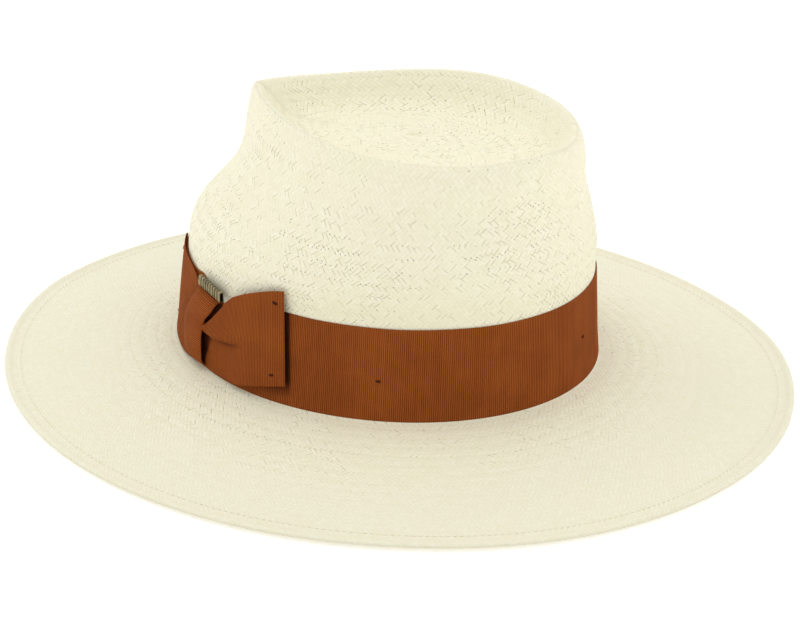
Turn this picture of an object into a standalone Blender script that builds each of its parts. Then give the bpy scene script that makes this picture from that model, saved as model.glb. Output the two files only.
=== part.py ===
import math

import bmesh
import bpy
from mathutils import Vector

# Driving dimensions, metres. +Z up, front of the hat towards -Y, wearer's left towards +X.
head_half_length = 0.1031      # straw outside, at the line where crown meets brim
head_half_width = 0.0851
crown_height = 0.1195          # from the headline to the crest
brim_half_length = 0.1964
brim_half_width = 0.1749
brim_set_back = 0.0034         # centre of the brim behind the centre of the crown
headline_height = 0.0180       # the headline above the table
crown_lean = 0.012             # rise towards the back, per metre of length
straw_thickness = 0.0010

hem_width = 0.0090             # width of the folded edge
hem_rise = 0.0010              # the fold's raw edge above the table
rest_from_edge = 0.0034        # inner side of the flat ring that the brim rests on
wire_radius = 0.0006
wire_from_edge = 0.0020
wire_clearance = 0.00025
thread_radius = 0.0002
stitch_wave = 0.0001

ribbon_width = 0.0462
ribbon_thickness = 0.0006
layer_gap = 0.00025            # clearance between pieces that touch

bow_ribbon_thickness = 0.0004
bow_centre = 0.0795            # along the ribbon from the front, on the wearer's left
bow_rear_end = 0.1410
bow_front_end = 0.0260
bow_rear_rise = 0.0100
bow_front_drop = 0.0032        # top of the bow's front end below the ribbon's top
bow_pinch_low = 0.0075         # the drawn-together middle of the bow
bow_lobe_low = 0.0042
knot_width = 0.0190
knot_low = 0.0030

badge_length = 0.0200
badge_height = 0.0055
badge_depth = 0.0024
badge_wall = 0.0005
badge_drop = 0.0008            # top of the badge below the ribbon's top
knot_height = ribbon_width - badge_drop - badge_height - 0.0014

sweatband_height = 0.0340
sweatband_thickness = 0.0012
reed_radius = 0.0008
reed_tape_thickness = 0.00035
label_length = 0.0160
label_height = 0.0110
label_low = 0.0100
inner_bow_length = 0.0280
tack_length = 0.0026
tack_inset = 0.0055            # corner tacks from the bow's ends and edges

ring_steps = 48
arc_steps = 720

# Crown sections from the headline up and over to the middle of the top:
# height, forward shift, half length, half width (shares of the head sizes), point at the front, squareness.
ribbon_top = (ribbon_width / crown_height, -0.007, 0.9835, 0.9495, 0.0, 1.0)
wire_height = straw_thickness + wire_radius + wire_clearance
crown_sections = [
    ribbon_top,
    (0.510, -0.019, 0.978, 0.958, 0.12, 1.02),
    (0.711, -0.082, 0.857, 0.885, 0.38, 1.00),
    (0.892, -0.098, 0.832, 0.759, 0.80, 1.05),
    (1.000, -0.079, 0.757, 0.665, 0.80, 1.15),
    (0.952, -0.083, 0.640, 0.530, 0.75, 1.10),
    (0.880, -0.090, 0.500, 0.380, 0.60, 1.00),
    (0.905, -0.090, 0.220, 0.160, 0.20, 1.00),
]


def clear_scene():
    for item in list(bpy.data.objects):
        bpy.data.objects.remove(item, do_unlink=True)


def new_collection(name):
    collection = bpy.data.collections.new(name)
    bpy.context.scene.collection.children.link(collection)
    return collection


def new_material(name, color, roughness, metallic=0.0):
    material = bpy.data.materials.new(name)
    material.use_nodes = True
    shader = material.node_tree.nodes["Principled BSDF"]
    shader.inputs["Base Color"].default_value = (*color, 1.0)
    shader.inputs["Roughness"].default_value = roughness
    shader.inputs["Metallic"].default_value = metallic
    material.diffuse_color = (*color, 1.0)
    return material


def add_piece(name, vertices, faces, material):
    mesh = bpy.data.meshes.new(name)
    mesh.from_pydata([tuple(v) for v in vertices], [], faces)
    shape = bmesh.new()
    shape.from_mesh(mesh)
    bmesh.ops.recalc_face_normals(shape, faces=shape.faces)
    shape.to_mesh(mesh)
    shape.free()
    for polygon in mesh.polygons:
        polygon.use_smooth = True
    mesh.materials.append(material)
    piece = bpy.data.objects.new(name, mesh)
    hat.objects.link(piece)
    return piece


def sweep(name, sections, material, closed=True):
    """A solid through a row of cross-sections, joined end to end or capped."""
    count = len(sections)
    corners = len(sections[0])
    vertices = [point for section in sections for point in section]
    faces = []
    for i in range(count if closed else count - 1):
        j = (i + 1) % count
        for k in range(corners):
            m = (k + 1) % corners
            faces.append((i * corners + k, j * corners + k, j * corners + m, i * corners + m))
    if not closed:
        faces.append(tuple(range(corners)))
        faces.append(tuple((count - 1) * corners + k for k in range(corners)))
    return add_piece(name, vertices, faces, material)


# The oval, and points placed from it

def smooth_value(a, b, c, d, t):
    return 0.5 * (2 * b + (c - a) * t + (2 * a - 5 * b + 4 * c - d) * t * t
                  + (3 * b - a - 3 * c + d) * t ** 3)


def smooth_row(rows, t):
    """A row between the given ones, on a smooth curve; t runs from 0 to len(rows) - 1."""
    i = min(int(t), len(rows) - 2)
    picks = [rows[max(i - 1, 0)], rows[i], rows[i + 1], rows[min(i + 2, len(rows) - 1)]]
    return tuple(smooth_value(*values, t - i) for values in zip(*picks))


def side_reach(angle, point, square):
    s = math.sin(angle)
    return math.copysign(abs(s) ** square * abs(math.sin(angle / 2)) ** point, s)


def widest(point, square):
    return max(side_reach(math.pi * i / 90, point, square) for i in range(91))


def section_ring(forward, half_length, half_width, height, point=0.0, square=1.0):
    """A closed row of points; height is above the headline, angle 0 is the front."""
    scale = half_width / widest(point, square)
    ring = []
    for i in range(ring_steps):
        angle = math.tau * i / ring_steps
        along = forward + half_length * math.cos(angle)
        side = scale * side_reach(angle, point, square)
        ring.append(hat_point(along, side, height))
    return ring


def hat_point(along, side, height, leaning=True):
    lean = -crown_lean * along if leaning else 0.0
    return Vector((side, -(along + brim_set_back), height + headline_height + lean))


def wall_sizes(height):
    share = min(max(height / ribbon_width, 0.0), 1.0)
    forward = share * ribbon_top[1] * head_half_length
    length = head_half_length * (1 + share * (ribbon_top[2] - 1))
    width = head_half_width * (1 + share * (ribbon_top[3] - 1))
    return forward, length, width


def wall_point(angle, out, height):
    """A point off the outside of the straw wall, between the headline and the ribbon's top."""
    forward, length, width = wall_sizes(height)
    x, y = length * math.cos(angle), width * math.sin(angle)
    nx, ny = x / length ** 2, y / width ** 2
    size = math.hypot(nx, ny)
    return hat_point(forward + x + out * nx / size, y + out * ny / size, height)


def arc_table():
    table = [0.0]
    for i in range(arc_steps):
        a, b = math.tau * i / arc_steps, math.tau * (i + 1) / arc_steps
        dx = head_half_length * (math.cos(b) - math.cos(a))
        dy = head_half_width * (math.sin(b) - math.sin(a))
        table.append(table[-1] + math.hypot(dx, dy))
    return table


def arc_angle(distance):
    """The angle at a distance along the headline from the front, towards the wearer's left."""
    turns, rest = divmod(distance, arcs[-1])
    for i in range(arc_steps):
        if arcs[i + 1] >= rest:
            part = (rest - arcs[i]) / (arcs[i + 1] - arcs[i])
            return math.tau * (turns + (i + part) / arc_steps)
    return math.tau * (turns + 1)


def band_point(distance, out, height):
    return wall_point(arc_angle(distance), out, height)


def wall_strip(name, outline, material, start=0.0, end=math.tau, steps=ring_steps, closed=True):
    """A strip round the crown with the cross-section outline: rows of (out, height)."""
    rows = steps if closed else steps + 1
    sections = []
    for i in range(rows):
        angle = start + (end - start) * i / steps
        sections.append([wall_point(angle, out, height) for out, height in outline])
    return sweep(name, sections, material, closed)


def circle(radius, out=0.0, height=0.0, corners=6):
    return [(out + radius * math.cos(math.tau * k / corners + 0.4),
             height + radius * math.sin(math.tau * k / corners + 0.4)) for k in range(corners)]


def edge_ring(from_edge, height):
    """A ring a set distance in from the brim's edge; height is above the table."""
    ring = []
    for i in range(ring_steps):
        angle = math.tau * i / ring_steps
        x = (brim_half_length - from_edge) * math.cos(angle)
        y = (brim_half_width - from_edge) * math.sin(angle)
        ring.append(Vector((y, -x, height)))
    return ring


def edge_tube(name, radius, from_edge, height, wave, material):
    """A round strand along the hem; wave lifts every second point, like stitches."""
    rings = [edge_ring(from_edge - out, height + up) for out, up in circle(radius)]
    sections = []
    for i in range(ring_steps):
        lift = Vector((0, 0, wave if i % 2 else 0.0))
        sections.append([ring[i] + lift for ring in rings])
    return sweep(name, sections, material)


# The straw body

def crown_rows():
    """Section sizes from the middle of the top down to the headline: forward, length, width, height, shape."""
    rows = []
    spans = len(crown_sections) - 1
    stops = [7.0, 6.6, 6.2, 5.7, 5.3, 4.9, 4.6, 4.3, 4.0, 3.7, 3.4, 3.0, 2.5, 2.0, 1.5, 1.0, 0.5, 0.0]
    for t in stops:
        height, forward, length, width, point, square = smooth_row(crown_sections, min(t, spans))
        rows.append([forward * head_half_length, length * head_half_length, width * head_half_width,
                     height * crown_height, max(point, 0.0), square])
    for share in (0.5, 0.05, 0.006):
        height = ribbon_width * share
        rows.append([*wall_sizes(height), height, 0.0, 1.0])
    return rows


def inner_rows(rows):
    """The same sections moved inwards by the thickness of the straw."""
    moved = []
    for i, row in enumerate(rows):
        before, after = rows[max(i - 1, 0)], rows[min(i + 1, len(rows) - 1)]
        run, rise = after[1] - before[1], after[3] - before[3]
        size = math.hypot(run, rise)
        inward, down = -rise / size * straw_thickness, run / size * straw_thickness
        moved.append([row[0], row[1] - inward, row[2] - inward, row[3] - down, row[4], row[5]])
    return moved


def crown_ring(row):
    return section_ring(*row)


def brim_ring(from_wall, fall):
    """A ring on the brim; from_wall and fall are shares of its width and of its drop to the hem."""
    length = head_half_length + from_wall * (brim_half_length - head_half_length)
    width = head_half_width + from_wall * (brim_half_width - head_half_width)
    ring = []
    for i in range(ring_steps):
        angle = math.tau * i / ring_steps
        along = -brim_set_back * from_wall + length * math.cos(angle)
        drop = (headline_height - hem_top()) * fall
        height = headline_height - drop - crown_lean * along * (1 - from_wall)
        ring.append(Vector((width * math.sin(angle), -(along + brim_set_back), height)))
    return ring


def lowered(ring, by):
    return [point - Vector((0, 0, by)) for point in ring]


def fold_height(from_edge):
    """Height of the fold's underside above the table."""
    return hem_rise * max(0.0, from_edge - rest_from_edge) / (hem_width - rest_from_edge)


def hem_top():
    return fold_height(hem_width) + 1.9 * straw_thickness + layer_gap


def build_straw():
    rows = crown_rows()
    outer = [crown_ring(row) for row in rows]
    brim_levels = [(0.004, 0.002), (0.03, 0.02), (0.15, 0.128), (0.35, 0.351), (0.60, 0.649), (0.80, 0.878)]
    brim = [brim_ring(share, fall) for share, fall in brim_levels]
    outer += brim
    folded = 0.9 * straw_thickness
    channel = wire_radius + wire_clearance
    roll = wire_height + channel + folded
    inset = hem_width * 0.55
    under = fold_height(inset) + folded
    outer += [edge_ring(hem_width, hem_top()), edge_ring(inset, under + layer_gap + straw_thickness),
              edge_ring(inset - 0.0008, under + layer_gap + straw_thickness + 0.0003),
              edge_ring(wire_from_edge + 0.0006, roll), edge_ring(0.0012, roll - 0.00005),
              edge_ring(0.0003, roll - 0.0008), edge_ring(0.0, wire_height), edge_ring(0.0002, wire_height * 0.43),
              edge_ring(0.0009, 0.0), edge_ring(rest_from_edge, 0.0)]
    outer += [edge_ring(hem_width, hem_rise), edge_ring(hem_width, hem_rise + folded), edge_ring(inset, under)]
    for turn in (-120, -60, 0, 60, 120):
        outer.append(edge_ring(wire_from_edge - channel * math.cos(math.radians(turn)),
                               wire_height + channel * math.sin(math.radians(turn))))
    outer += [edge_ring(inset, under + layer_gap), edge_ring(hem_width, hem_rise + folded + layer_gap)]
    outer += [lowered(ring, straw_thickness) for ring in reversed(brim[1:])]
    inner = inner_rows(rows)
    corner = 0.2 * straw_thickness
    outer += [section_ring(0.0, head_half_length - corner, head_half_width - corner, -0.6 * straw_thickness)]
    outer += [crown_ring(row) for row in reversed(inner)]
    top_centre = hat_point(rows[0][0], 0.0, rows[0][3] + 0.0003)
    low_centre = top_centre - Vector((0, 0, straw_thickness))
    vertices = [top_centre, low_centre] + [point for ring in outer for point in ring]
    faces = []
    for i in range(ring_steps):
        j = (i + 1) % ring_steps
        faces.append((0, 2 + j, 2 + i))
        last = 2 + (len(outer) - 1) * ring_steps
        faces.append((1, last + i, last + j))
        for k in range(len(outer) - 1):
            a, b = 2 + k * ring_steps, 2 + (k + 1) * ring_steps
            faces.append((a + i, a + j, b + j, b + i))
    return add_piece("straw_body", vertices, faces, straw)


# Ribbon, bow, knot and badge

def build_ribbon():
    inside = layer_gap
    outside = layer_gap + ribbon_thickness
    low, high = 0.0004, ribbon_width
    middle = ribbon_width * 0.5
    outline = [(inside, low), (inside, middle), (inside, high), (outside, high), (outside, middle), (outside, low)]
    return wall_strip("hat_ribbon", outline, brown)


def bow_levels(distance):
    """Lowest and highest line of the bow at a distance along the ribbon."""
    pinch_high = knot_height - 0.0085
    if distance >= bow_centre:
        share = (distance - bow_centre) / (bow_rear_end - bow_centre)
        lows = [bow_pinch_low, bow_lobe_low, bow_rear_rise * 0.6, bow_rear_rise]
        highs = [pinch_high, ribbon_width - 0.0097, ribbon_width + bow_rear_rise * 0.58, ribbon_width + bow_rear_rise]
    else:
        share = (bow_centre - distance) / (bow_centre - bow_front_end)
        top = ribbon_width - bow_front_drop
        lows = [bow_pinch_low, bow_lobe_low, bow_lobe_low, bow_lobe_low]
        highs = [pinch_high, top - 0.0050, top - 0.0010, top]
    low, high = smooth_row(list(zip(lows, highs)), share * 3)
    return low, high


def build_bow():
    """One flat loop of ribbon; its outer side is drawn together under the knot."""
    base = layer_gap + ribbon_thickness
    behind = base + layer_gap + bow_ribbon_thickness + layer_gap
    half = bow_ribbon_thickness / 2
    fold = 0.0010
    rear, front = bow_rear_end - bow_centre, bow_centre - bow_front_end
    path = []
    for share in (0.96, 0.74, 0.53, 0.335, 0.23, 0.115, 0.0):
        path.append((bow_centre + rear * share, behind + half))
    for share in (0.13, 0.26, 0.38, 0.55, 0.78, 0.95):
        path.append((bow_centre - front * share, behind + half))
    path += [(bow_front_end + 0.0003, behind + half + fold * 0.4), (bow_front_end, behind + half + fold)]
    path += [(bow_front_end + 0.0006, behind + half + fold * 1.8)]
    for share, lift in ((0.85, 0.0023), (0.645, 0.0028), (0.42, 0.0026), (0.215, 0.0010)):
        path.append((bow_centre - front * share, behind + half + lift))
    for share, lift in ((0.0, 0.0009), (0.187, 0.0010), (0.35, 0.0026), (0.545, 0.0031), (0.74, 0.0027), (0.90, 0.0022)):
        path.append((bow_centre + rear * share, behind + half + lift))
    path += [(bow_rear_end - 0.0006, behind + half + fold * 1.8), (bow_rear_end, behind + half + fold)]
    path += [(bow_rear_end - 0.0003, behind + half + fold * 0.4)]
    count = len(path)
    lines = 6
    sections = []
    for i, (distance, out) in enumerate(path):
        before, after = path[i - 1], path[(i + 1) % count]
        along, rise = after[0] - before[0], after[1] - before[1]
        size = math.hypot(along, rise)
        across = (-rise / size * half, along / size * half)
        low, high = bow_levels(min(max(distance, bow_front_end), bow_rear_end))
        outer_side = out > behind + half + fold * 1.1
        section = []
        for side in (1, -1):
            order = range(lines + 1) if side == 1 else range(lines, -1, -1)
            for k in order:
                share = k / lines
                near = max(0.0, 1 - abs(distance - bow_centre) / 0.030)
                crease = 0.0012 * near * math.sin(math.pi * share * 2) ** 2 if outer_side else 0.0
                crown_of_lobe = 0.0006 * math.sin(math.pi * share) if outer_side else 0.0
                section.append(band_point(distance + side * across[0],
                                          out + side * across[1] + (crease + crown_of_lobe) * (1 - near * 0.6),
                                          low + (high - low) * share))
        sections.append(section)
    return sweep("bow_ribbon", sections, brown)


def build_knot():
    """A short ribbon wrapped once round the middle of the bow."""
    base = layer_gap + ribbon_thickness
    inner = base + layer_gap
    half = bow_ribbon_thickness / 2
    outer = 0.0056
    low, high = knot_low, knot_height
    path = [(inner + half, low + 0.0015), (inner + half, (low + high) / 2), (inner + half, high - 0.0015),
            (inner + half + 0.0004, high - 0.0004), (inner + 0.0016, high), (inner + 0.0030, high - 0.0004),
            (outer - 0.0003, high - 0.0030), (outer + 0.0003, high * 0.70), (outer + 0.0004, high * 0.50),
            (outer + 0.0003, high * 0.30), (outer - 0.0002, low + 0.0030), (inner + 0.0030, low + 0.0004),
            (inner + 0.0016, low), (inner + half + 0.0004, low + 0.0004)]
    count = len(path)
    columns = 4
    sections = []
    for i, (out, height) in enumerate(path):
        before, after = path[i - 1], path[(i + 1) % count]
        run, rise = after[0] - before[0], after[1] - before[1]
        size = math.hypot(run, rise)
        across = (-rise / size * half, run / size * half)
        front = out > inner + 0.002
        waist = 1.0 - 0.12 * math.sin(math.pi * (height - low) / (high - low)) if front else 0.9
        section = []
        for side in (1, -1):
            order = range(columns + 1) if side == 1 else range(columns, -1, -1)
            for k in order:
                share = k / columns * 2 - 1
                round_off = 0.0009 * share * share if front else 0.0
                section.append(band_point(bow_centre + share * knot_width / 2 * waist,
                                          out + side * across[0] - round_off, height + side * across[1]))
        sections.append(section)
    return sweep("bow_knot", sections, brown)


def build_tack(name, angle, height, out):
    """A short bar of thread lying on the cloth."""
    steps = 4
    sections = []
    for i in range(steps + 1):
        share = i / steps * 2 - 1
        bulge = 0.35 + 0.65 * math.cos(share * math.pi / 2 * 0.9)
        turn = share * tack_length / (head_half_length + head_half_width)
        sections.append([wall_point(angle + turn, out + a, height + b)
                         for a, b in circle(thread_radius * 1.2 * bulge, corners=5)])
    return sweep(name, sections, dark_thread, closed=False)


def build_badge():
    """A flattened metal tube with open ends, lying along the top edge of the ribbon over the knot."""
    out = layer_gap * 2 + ribbon_thickness + badge_depth / 2 + 0.0003
    level = ribbon_width - badge_drop - badge_height / 2
    middle = band_point(bow_centre + badge_length / 2, out, level)
    ahead = (band_point(bow_centre + badge_length / 2 + 0.0050, out - 0.0002, level)
             - band_point(bow_centre + badge_length / 2 - 0.0050, out + 0.0002, level))
    ahead.z = 0.0
    ahead.normalize()
    up = Vector((0, 0, 1))
    outward = ahead.cross(up)
    corners = 12
    sections = []
    for share, wall in ((-1, 0), (1, 0), (1, badge_wall), (-1, badge_wall)):
        ring = []
        for k in range(corners):
            turn = math.tau * (k + 0.5) / corners
            c, s = math.cos(turn), math.sin(turn)
            across = math.copysign(abs(c) ** 0.6, c) * (badge_depth / 2 - wall)
            rise = math.copysign(abs(s) ** 0.6, s) * (badge_height / 2 - wall)
            ring.append(middle + ahead * share * badge_length / 2 + outward * across + up * rise)
        sections.append(ring)
    badge = sweep("metal_badge", sections, pewter)
    thread = []
    for share in (-0.9, -0.45, 0.0, 0.45, 0.9):
        ring = []
        for a, b in circle(thread_radius * 1.5, corners=5):
            ring.append(middle + ahead * share * badge_length / 2 + outward * a + up * b)
        thread.append(ring)
    sweep("badge_thread", thread, dark_thread, closed=False)
    return badge


# Inside the crown

def build_sweatband():
    wall = -straw_thickness
    tape_out = wall - layer_gap
    leather_out = tape_out - reed_tape_thickness - layer_gap
    leather_in = leather_out - sweatband_thickness
    tape_in = leather_in - layer_gap - reed_tape_thickness
    gap_angle = 0.003
    start, end = math.pi + gap_angle, math.pi + math.tau - gap_angle
    high = sweatband_height
    outline = [(leather_out, 0.0), (leather_out, high * 0.5), (leather_out, high), (leather_in, high),
               (leather_in, high * 0.5), (leather_in, 0.0)]
    wall_strip("sweatband", outline, leather, start, end, closed=False)
    reed_out = (leather_out + leather_in) / 2
    reed_height = -reed_radius - layer_gap
    wall_strip("sweatband_reed", circle(reed_radius, reed_out, reed_height, 8), reed, start, end, closed=False)
    floor = reed_height - reed_radius - layer_gap
    side = 0.0005
    tape = [(tape_out, 0.0048), (tape_out, floor + side), (tape_out - side, floor - reed_tape_thickness),
            (tape_in + side, floor - reed_tape_thickness), (tape_in, floor + side), (tape_in, 0.0048),
            (tape_in + reed_tape_thickness, 0.0048), (tape_in + reed_tape_thickness, floor + side),
            (tape_in + reed_tape_thickness + side * 0.5, floor), (tape_out - reed_tape_thickness - side * 0.5, floor),
            (tape_out - reed_tape_thickness, floor + side), (tape_out - reed_tape_thickness, 0.0048)]
    wall_strip("reed_tape", tape, cloth, start, end, closed=False)
    thread_out = tape_in - 0.0001 - thread_radius
    wall_strip("sweatband_thread", circle(thread_radius, thread_out, 0.0030, 5), pale_thread, start, end, closed=False)
    seam_out = leather_in - layer_gap
    seam_low, seam_high = 0.0060, sweatband_height - 0.0010
    seam = [(seam_out, seam_low), (seam_out, seam_high), (seam_out - 0.0004, seam_high), (seam_out - 0.0004, seam_low)]
    turn = 0.0075 / head_half_width
    wall_strip("back_seam_tape", seam, cloth, math.pi - turn, math.pi + turn, 4, closed=False)
    label = [(seam_out, label_low), (seam_out, label_low + label_height),
             (seam_out - 0.0003, label_low + label_height), (seam_out - 0.0003, label_low)]
    turn = label_length / 2 / head_half_width
    wall_strip("size_label", label, paper, math.pi * 0.80 - turn, math.pi * 0.80 + turn, 4, closed=False)
    bow_out = seam_out - 0.0004 - layer_gap
    build_inner_bow(bow_out)


def build_inner_bow(start_out):
    """A small flat bow over the back seam, with its own knot."""
    middle_height = sweatband_height * 0.68
    half_length = inner_bow_length / 2
    thick = 0.0003
    behind = start_out - layer_gap - 0.0003 - layer_gap
    lifts = [(-0.90, 0.0), (-0.43, 0.0), (0.0, 0.0), (0.43, 0.0), (0.90, 0.0), (0.985, 0.0006), (1.0, 0.0012),
             (0.915, 0.0020), (0.5, 0.0022), (0.0, 0.0010), (-0.5, 0.0022), (-0.915, 0.0020), (-1.0, 0.0012),
             (-0.985, 0.0006)]
    path = [(share * half_length, lift) for share, lift in lifts]
    count = len(path)
    sections = []
    for i, (along, lift) in enumerate(path):
        before, after = path[i - 1], path[(i + 1) % count]
        run, rise = after[0] - before[0], after[1] - before[1]
        size = math.hypot(run, rise)
        across = (-rise / size * thick / 2, run / size * thick / 2)
        spread = 0.0020 + 0.0025 * min(1.0, abs(along) / 0.010)
        section = []
        for side, up in ((1, -1), (1, 1), (-1, 1), (-1, -1)):
            angle = math.pi + (along + side * across[0]) / head_half_width
            section.append(wall_point(angle, behind - lift - side * across[1], middle_height + up * spread))
        sections.append(section)
    sweep("inner_bow", sections, brown)
    near, far = start_out - 0.00015, behind - 0.0023
    high = 0.0038
    path = [(near, -high * 0.8), (near, high * 0.8), (near - 0.0004, high), (far + 0.0004, high), (far, high * 0.7),
            (far, -high * 0.7), (far + 0.0004, -high), (near - 0.0004, -high)]
    centre_out = (near + far) / 2
    sections = []
    for out, up in path:
        inner_up, inner_out = up * 0.88, centre_out + (out - centre_out) * 0.80
        section = []
        for o, h, along in ((out, up, -0.002), (out, up, 0.002), (inner_out, inner_up, 0.002),
                            (inner_out, inner_up, -0.002)):
            section.append(wall_point(math.pi + along / head_half_width, o, middle_height + h))
        sections.append(section)
    sweep("inner_bow_knot", sections, brown)


clear_scene()
hat = new_collection("panama_hat")
arcs = arc_table()
straw = new_material("straw", (0.82, 0.78, 0.60), 0.7)
brown = new_material("brown_grosgrain", (0.26, 0.075, 0.022), 0.75)
pewter = new_material("pewter", (0.33, 0.31, 0.22), 0.4, 0.9)
leather = new_material("leather", (0.30, 0.17, 0.09), 0.55)
cloth = new_material("cotton_tape", (0.55, 0.48, 0.36), 0.85)
paper = new_material("label_paper", (0.85, 0.84, 0.80), 0.8)
reed = new_material("reed_plastic", (0.75, 0.74, 0.70), 0.4)
steel = new_material("brim_wire", (0.45, 0.45, 0.45), 0.4, 1.0)
pale_thread = new_material("pale_thread", (0.78, 0.73, 0.58), 0.8)
dark_thread = new_material("brown_thread", (0.16, 0.05, 0.02), 0.8)

build_straw()
edge_tube("brim_wire", wire_radius, wire_from_edge, wire_height, 0.0, steel)
stitch_from_edge = hem_width * 0.78
stitch_share = (stitch_from_edge - hem_width * 0.55) / (hem_width * 0.45)
stitch_base = fold_height(hem_width * 0.55) + stitch_share * (fold_height(hem_width) - fold_height(hem_width * 0.55))
stitch_off = thread_radius + stitch_wave
edge_tube("hem_needle_thread", thread_radius, stitch_from_edge,
          stitch_base + 1.9 * straw_thickness + layer_gap + stitch_off, stitch_wave, pale_thread)
edge_tube("hem_bobbin_thread", thread_radius, stitch_from_edge, stitch_base - stitch_off, -stitch_wave, pale_thread)
build_ribbon()
build_bow()
build_knot()
build_badge()
on_ribbon = layer_gap + ribbon_thickness + 0.0001 + thread_radius * 1.2
for name, turn, height in (("left", 111, 0.43), ("back", 180, 0.5), ("right", 260, 0.5), ("front", 340, 0.5)):
    build_tack("ribbon_tack_" + name, math.radians(turn), ribbon_width * height, on_ribbon)
on_bow = layer_gap * 3 + ribbon_thickness + bow_ribbon_thickness * 2 + 0.0026
for name, place in (("rear", bow_rear_end - tack_inset), ("front", bow_front_end + tack_inset)):
    lowest, highest = bow_levels(place)
    build_tack("bow_tack_" + name + "_top", arc_angle(place), highest - tack_inset, on_bow)
    build_tack("bow_tack_" + name + "_low", arc_angle(place), lowest + tack_inset, on_bow)
build_sweatband()
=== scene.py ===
import math

import bpy
import numpy as np
from mathutils import Matrix, Vector


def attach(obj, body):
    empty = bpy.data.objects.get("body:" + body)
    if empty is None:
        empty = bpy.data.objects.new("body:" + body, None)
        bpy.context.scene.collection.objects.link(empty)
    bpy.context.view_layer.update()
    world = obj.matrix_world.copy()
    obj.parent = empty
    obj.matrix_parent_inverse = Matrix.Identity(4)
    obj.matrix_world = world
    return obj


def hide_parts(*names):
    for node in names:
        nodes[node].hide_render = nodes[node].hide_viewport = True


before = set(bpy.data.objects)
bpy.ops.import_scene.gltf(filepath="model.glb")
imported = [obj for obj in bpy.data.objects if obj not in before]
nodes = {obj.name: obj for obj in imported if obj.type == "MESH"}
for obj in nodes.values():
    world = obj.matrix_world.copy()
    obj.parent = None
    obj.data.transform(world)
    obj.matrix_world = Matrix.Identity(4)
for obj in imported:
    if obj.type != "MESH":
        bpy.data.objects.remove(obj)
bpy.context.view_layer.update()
print("frame loaded,", len(nodes), "nodes")

# The hat's own sizes, in metres. Front is -Y, the wearer's left is +X.
hatForm = {
    "headHalfLength": 0.1031, "headHalfWidth": 0.0851, "crownHeight": 0.1195,
    "brimHalfLength": 0.1964, "brimHalfWidth": 0.1749, "brimSetBack": 0.0034,
    "headline": 0.0180, "lean": 0.012, "strawThick": 0.0010,
    "ribbonWidth": 0.0462, "bandForward": -0.007, "bandLength": 0.9835, "bandWidth": 0.9495,
}
gap = 0.00025  # between pieces that touch
headRadius = 0.094  # the headline's middle radius, which turns short lengths round it into angles


# Points on the hat

def hatPoint(along, side, height):
    return np.stack([side, -(along + hatForm["brimSetBack"]),
                     height + hatForm["headline"] - hatForm["lean"] * along], -1)


def wallPoint(angle, out, height):  # off the outside of the straw, between the headline and the ribbon's top
    angle, out, height = np.broadcast_arrays(*[np.asarray(x, float) for x in (angle, out, height)])
    share = height / hatForm["ribbonWidth"]
    forward = share * hatForm["bandForward"] * hatForm["headHalfLength"]
    length = hatForm["headHalfLength"] * (1 + share * (hatForm["bandLength"] - 1))
    width = hatForm["headHalfWidth"] * (1 + share * (hatForm["bandWidth"] - 1))
    x, y = length * np.cos(angle), width * np.sin(angle)
    nx, ny = x / length ** 2, y / width ** 2
    size = np.hypot(nx, ny)
    return hatPoint(forward + x + out * nx / size, y + out * ny / size, height)


turnTable = np.linspace(0, math.tau, 1441)
arcTable = np.concatenate([[0], np.cumsum(np.hypot(hatForm["headHalfLength"] * np.diff(np.cos(turnTable)),
                                                    hatForm["headHalfWidth"] * np.diff(np.sin(turnTable))))])
wholeTurn = arcTable[-1]


def arcAngle(distance):  # angle at a distance along the headline from the front, towards the wearer's left
    turns = np.floor(np.asarray(distance, float) / wholeTurn)
    return turns * math.tau + np.interp(distance - turns * wholeTurn, arcTable, turnTable)


def bandPoint(distance, out, height):  # the band follows the curve of the straw at its foot
    flare = 0.0004 * (1 - ease(0.0, 0.012, np.asarray(height, float))) ** 1.5
    return wallPoint(arcAngle(distance), out + flare, height)


def smoothRow(rows, t):  # a smooth curve through the rows, t from 0 to the last index
    rows = np.asarray(rows, float)
    t = np.asarray(t, float)
    i = np.clip(t.astype(int), 0, len(rows) - 2)
    f = (t - i).reshape(t.shape + (1,) * (rows.ndim - 1))
    a, b, c, d = rows[np.maximum(i - 1, 0)], rows[i], rows[i + 1], rows[np.minimum(i + 2, len(rows) - 1)]
    squared, cubed = 2 * a - 5 * b + 4 * c - d, 3 * b - a - 3 * c + d
    return 0.5 * (2 * b + (c - a) * f + squared * f ** 2 + cubed * f ** 3)


def alongTable(table, value):  # the row of a table at a value of its first column
    table = np.array(table)
    return smoothRow(table, np.interp(value, table[:, 0], np.arange(len(table))))


def rowReach(grid):  # how far each row of points is along the surface, on the whole
    return np.concatenate([[0], np.cumsum(np.linalg.norm(np.diff(grid, axis=0), axis=-1).mean(1))])


def ease(low, high, value):  # 0 below low, 1 above high, smooth between
    t = np.clip((value - low) / (high - low), 0, 1)
    return t * t * (3 - 2 * t)


def hump(value, centre, width):
    return np.exp(-((value - centre) / width) ** 2)


def cords(distance, pitch):  # 1 on a ribbon's cords, 0 between them
    return 0.5 + 0.5 * np.cos(math.tau * distance / pitch)


# Meshes

# the third number is painted shade, kept in a map of its own
def addMaps(mesh, corners, mapName):  # a third number says how deep in a fold, or under an edge
    corners = np.asarray(corners, float).reshape(len(mesh.loops), -1)
    mesh.uv_layers.new(name=mapName).data.foreach_set("uv", corners[:, :2].ravel())
    if corners.shape[1] > 2:
        deep = np.stack([corners[:, 2], np.zeros(len(corners))], -1)
        mesh.uv_layers.new(name="paintedShadeMap").data.foreach_set("uv", deep.ravel())


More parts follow.
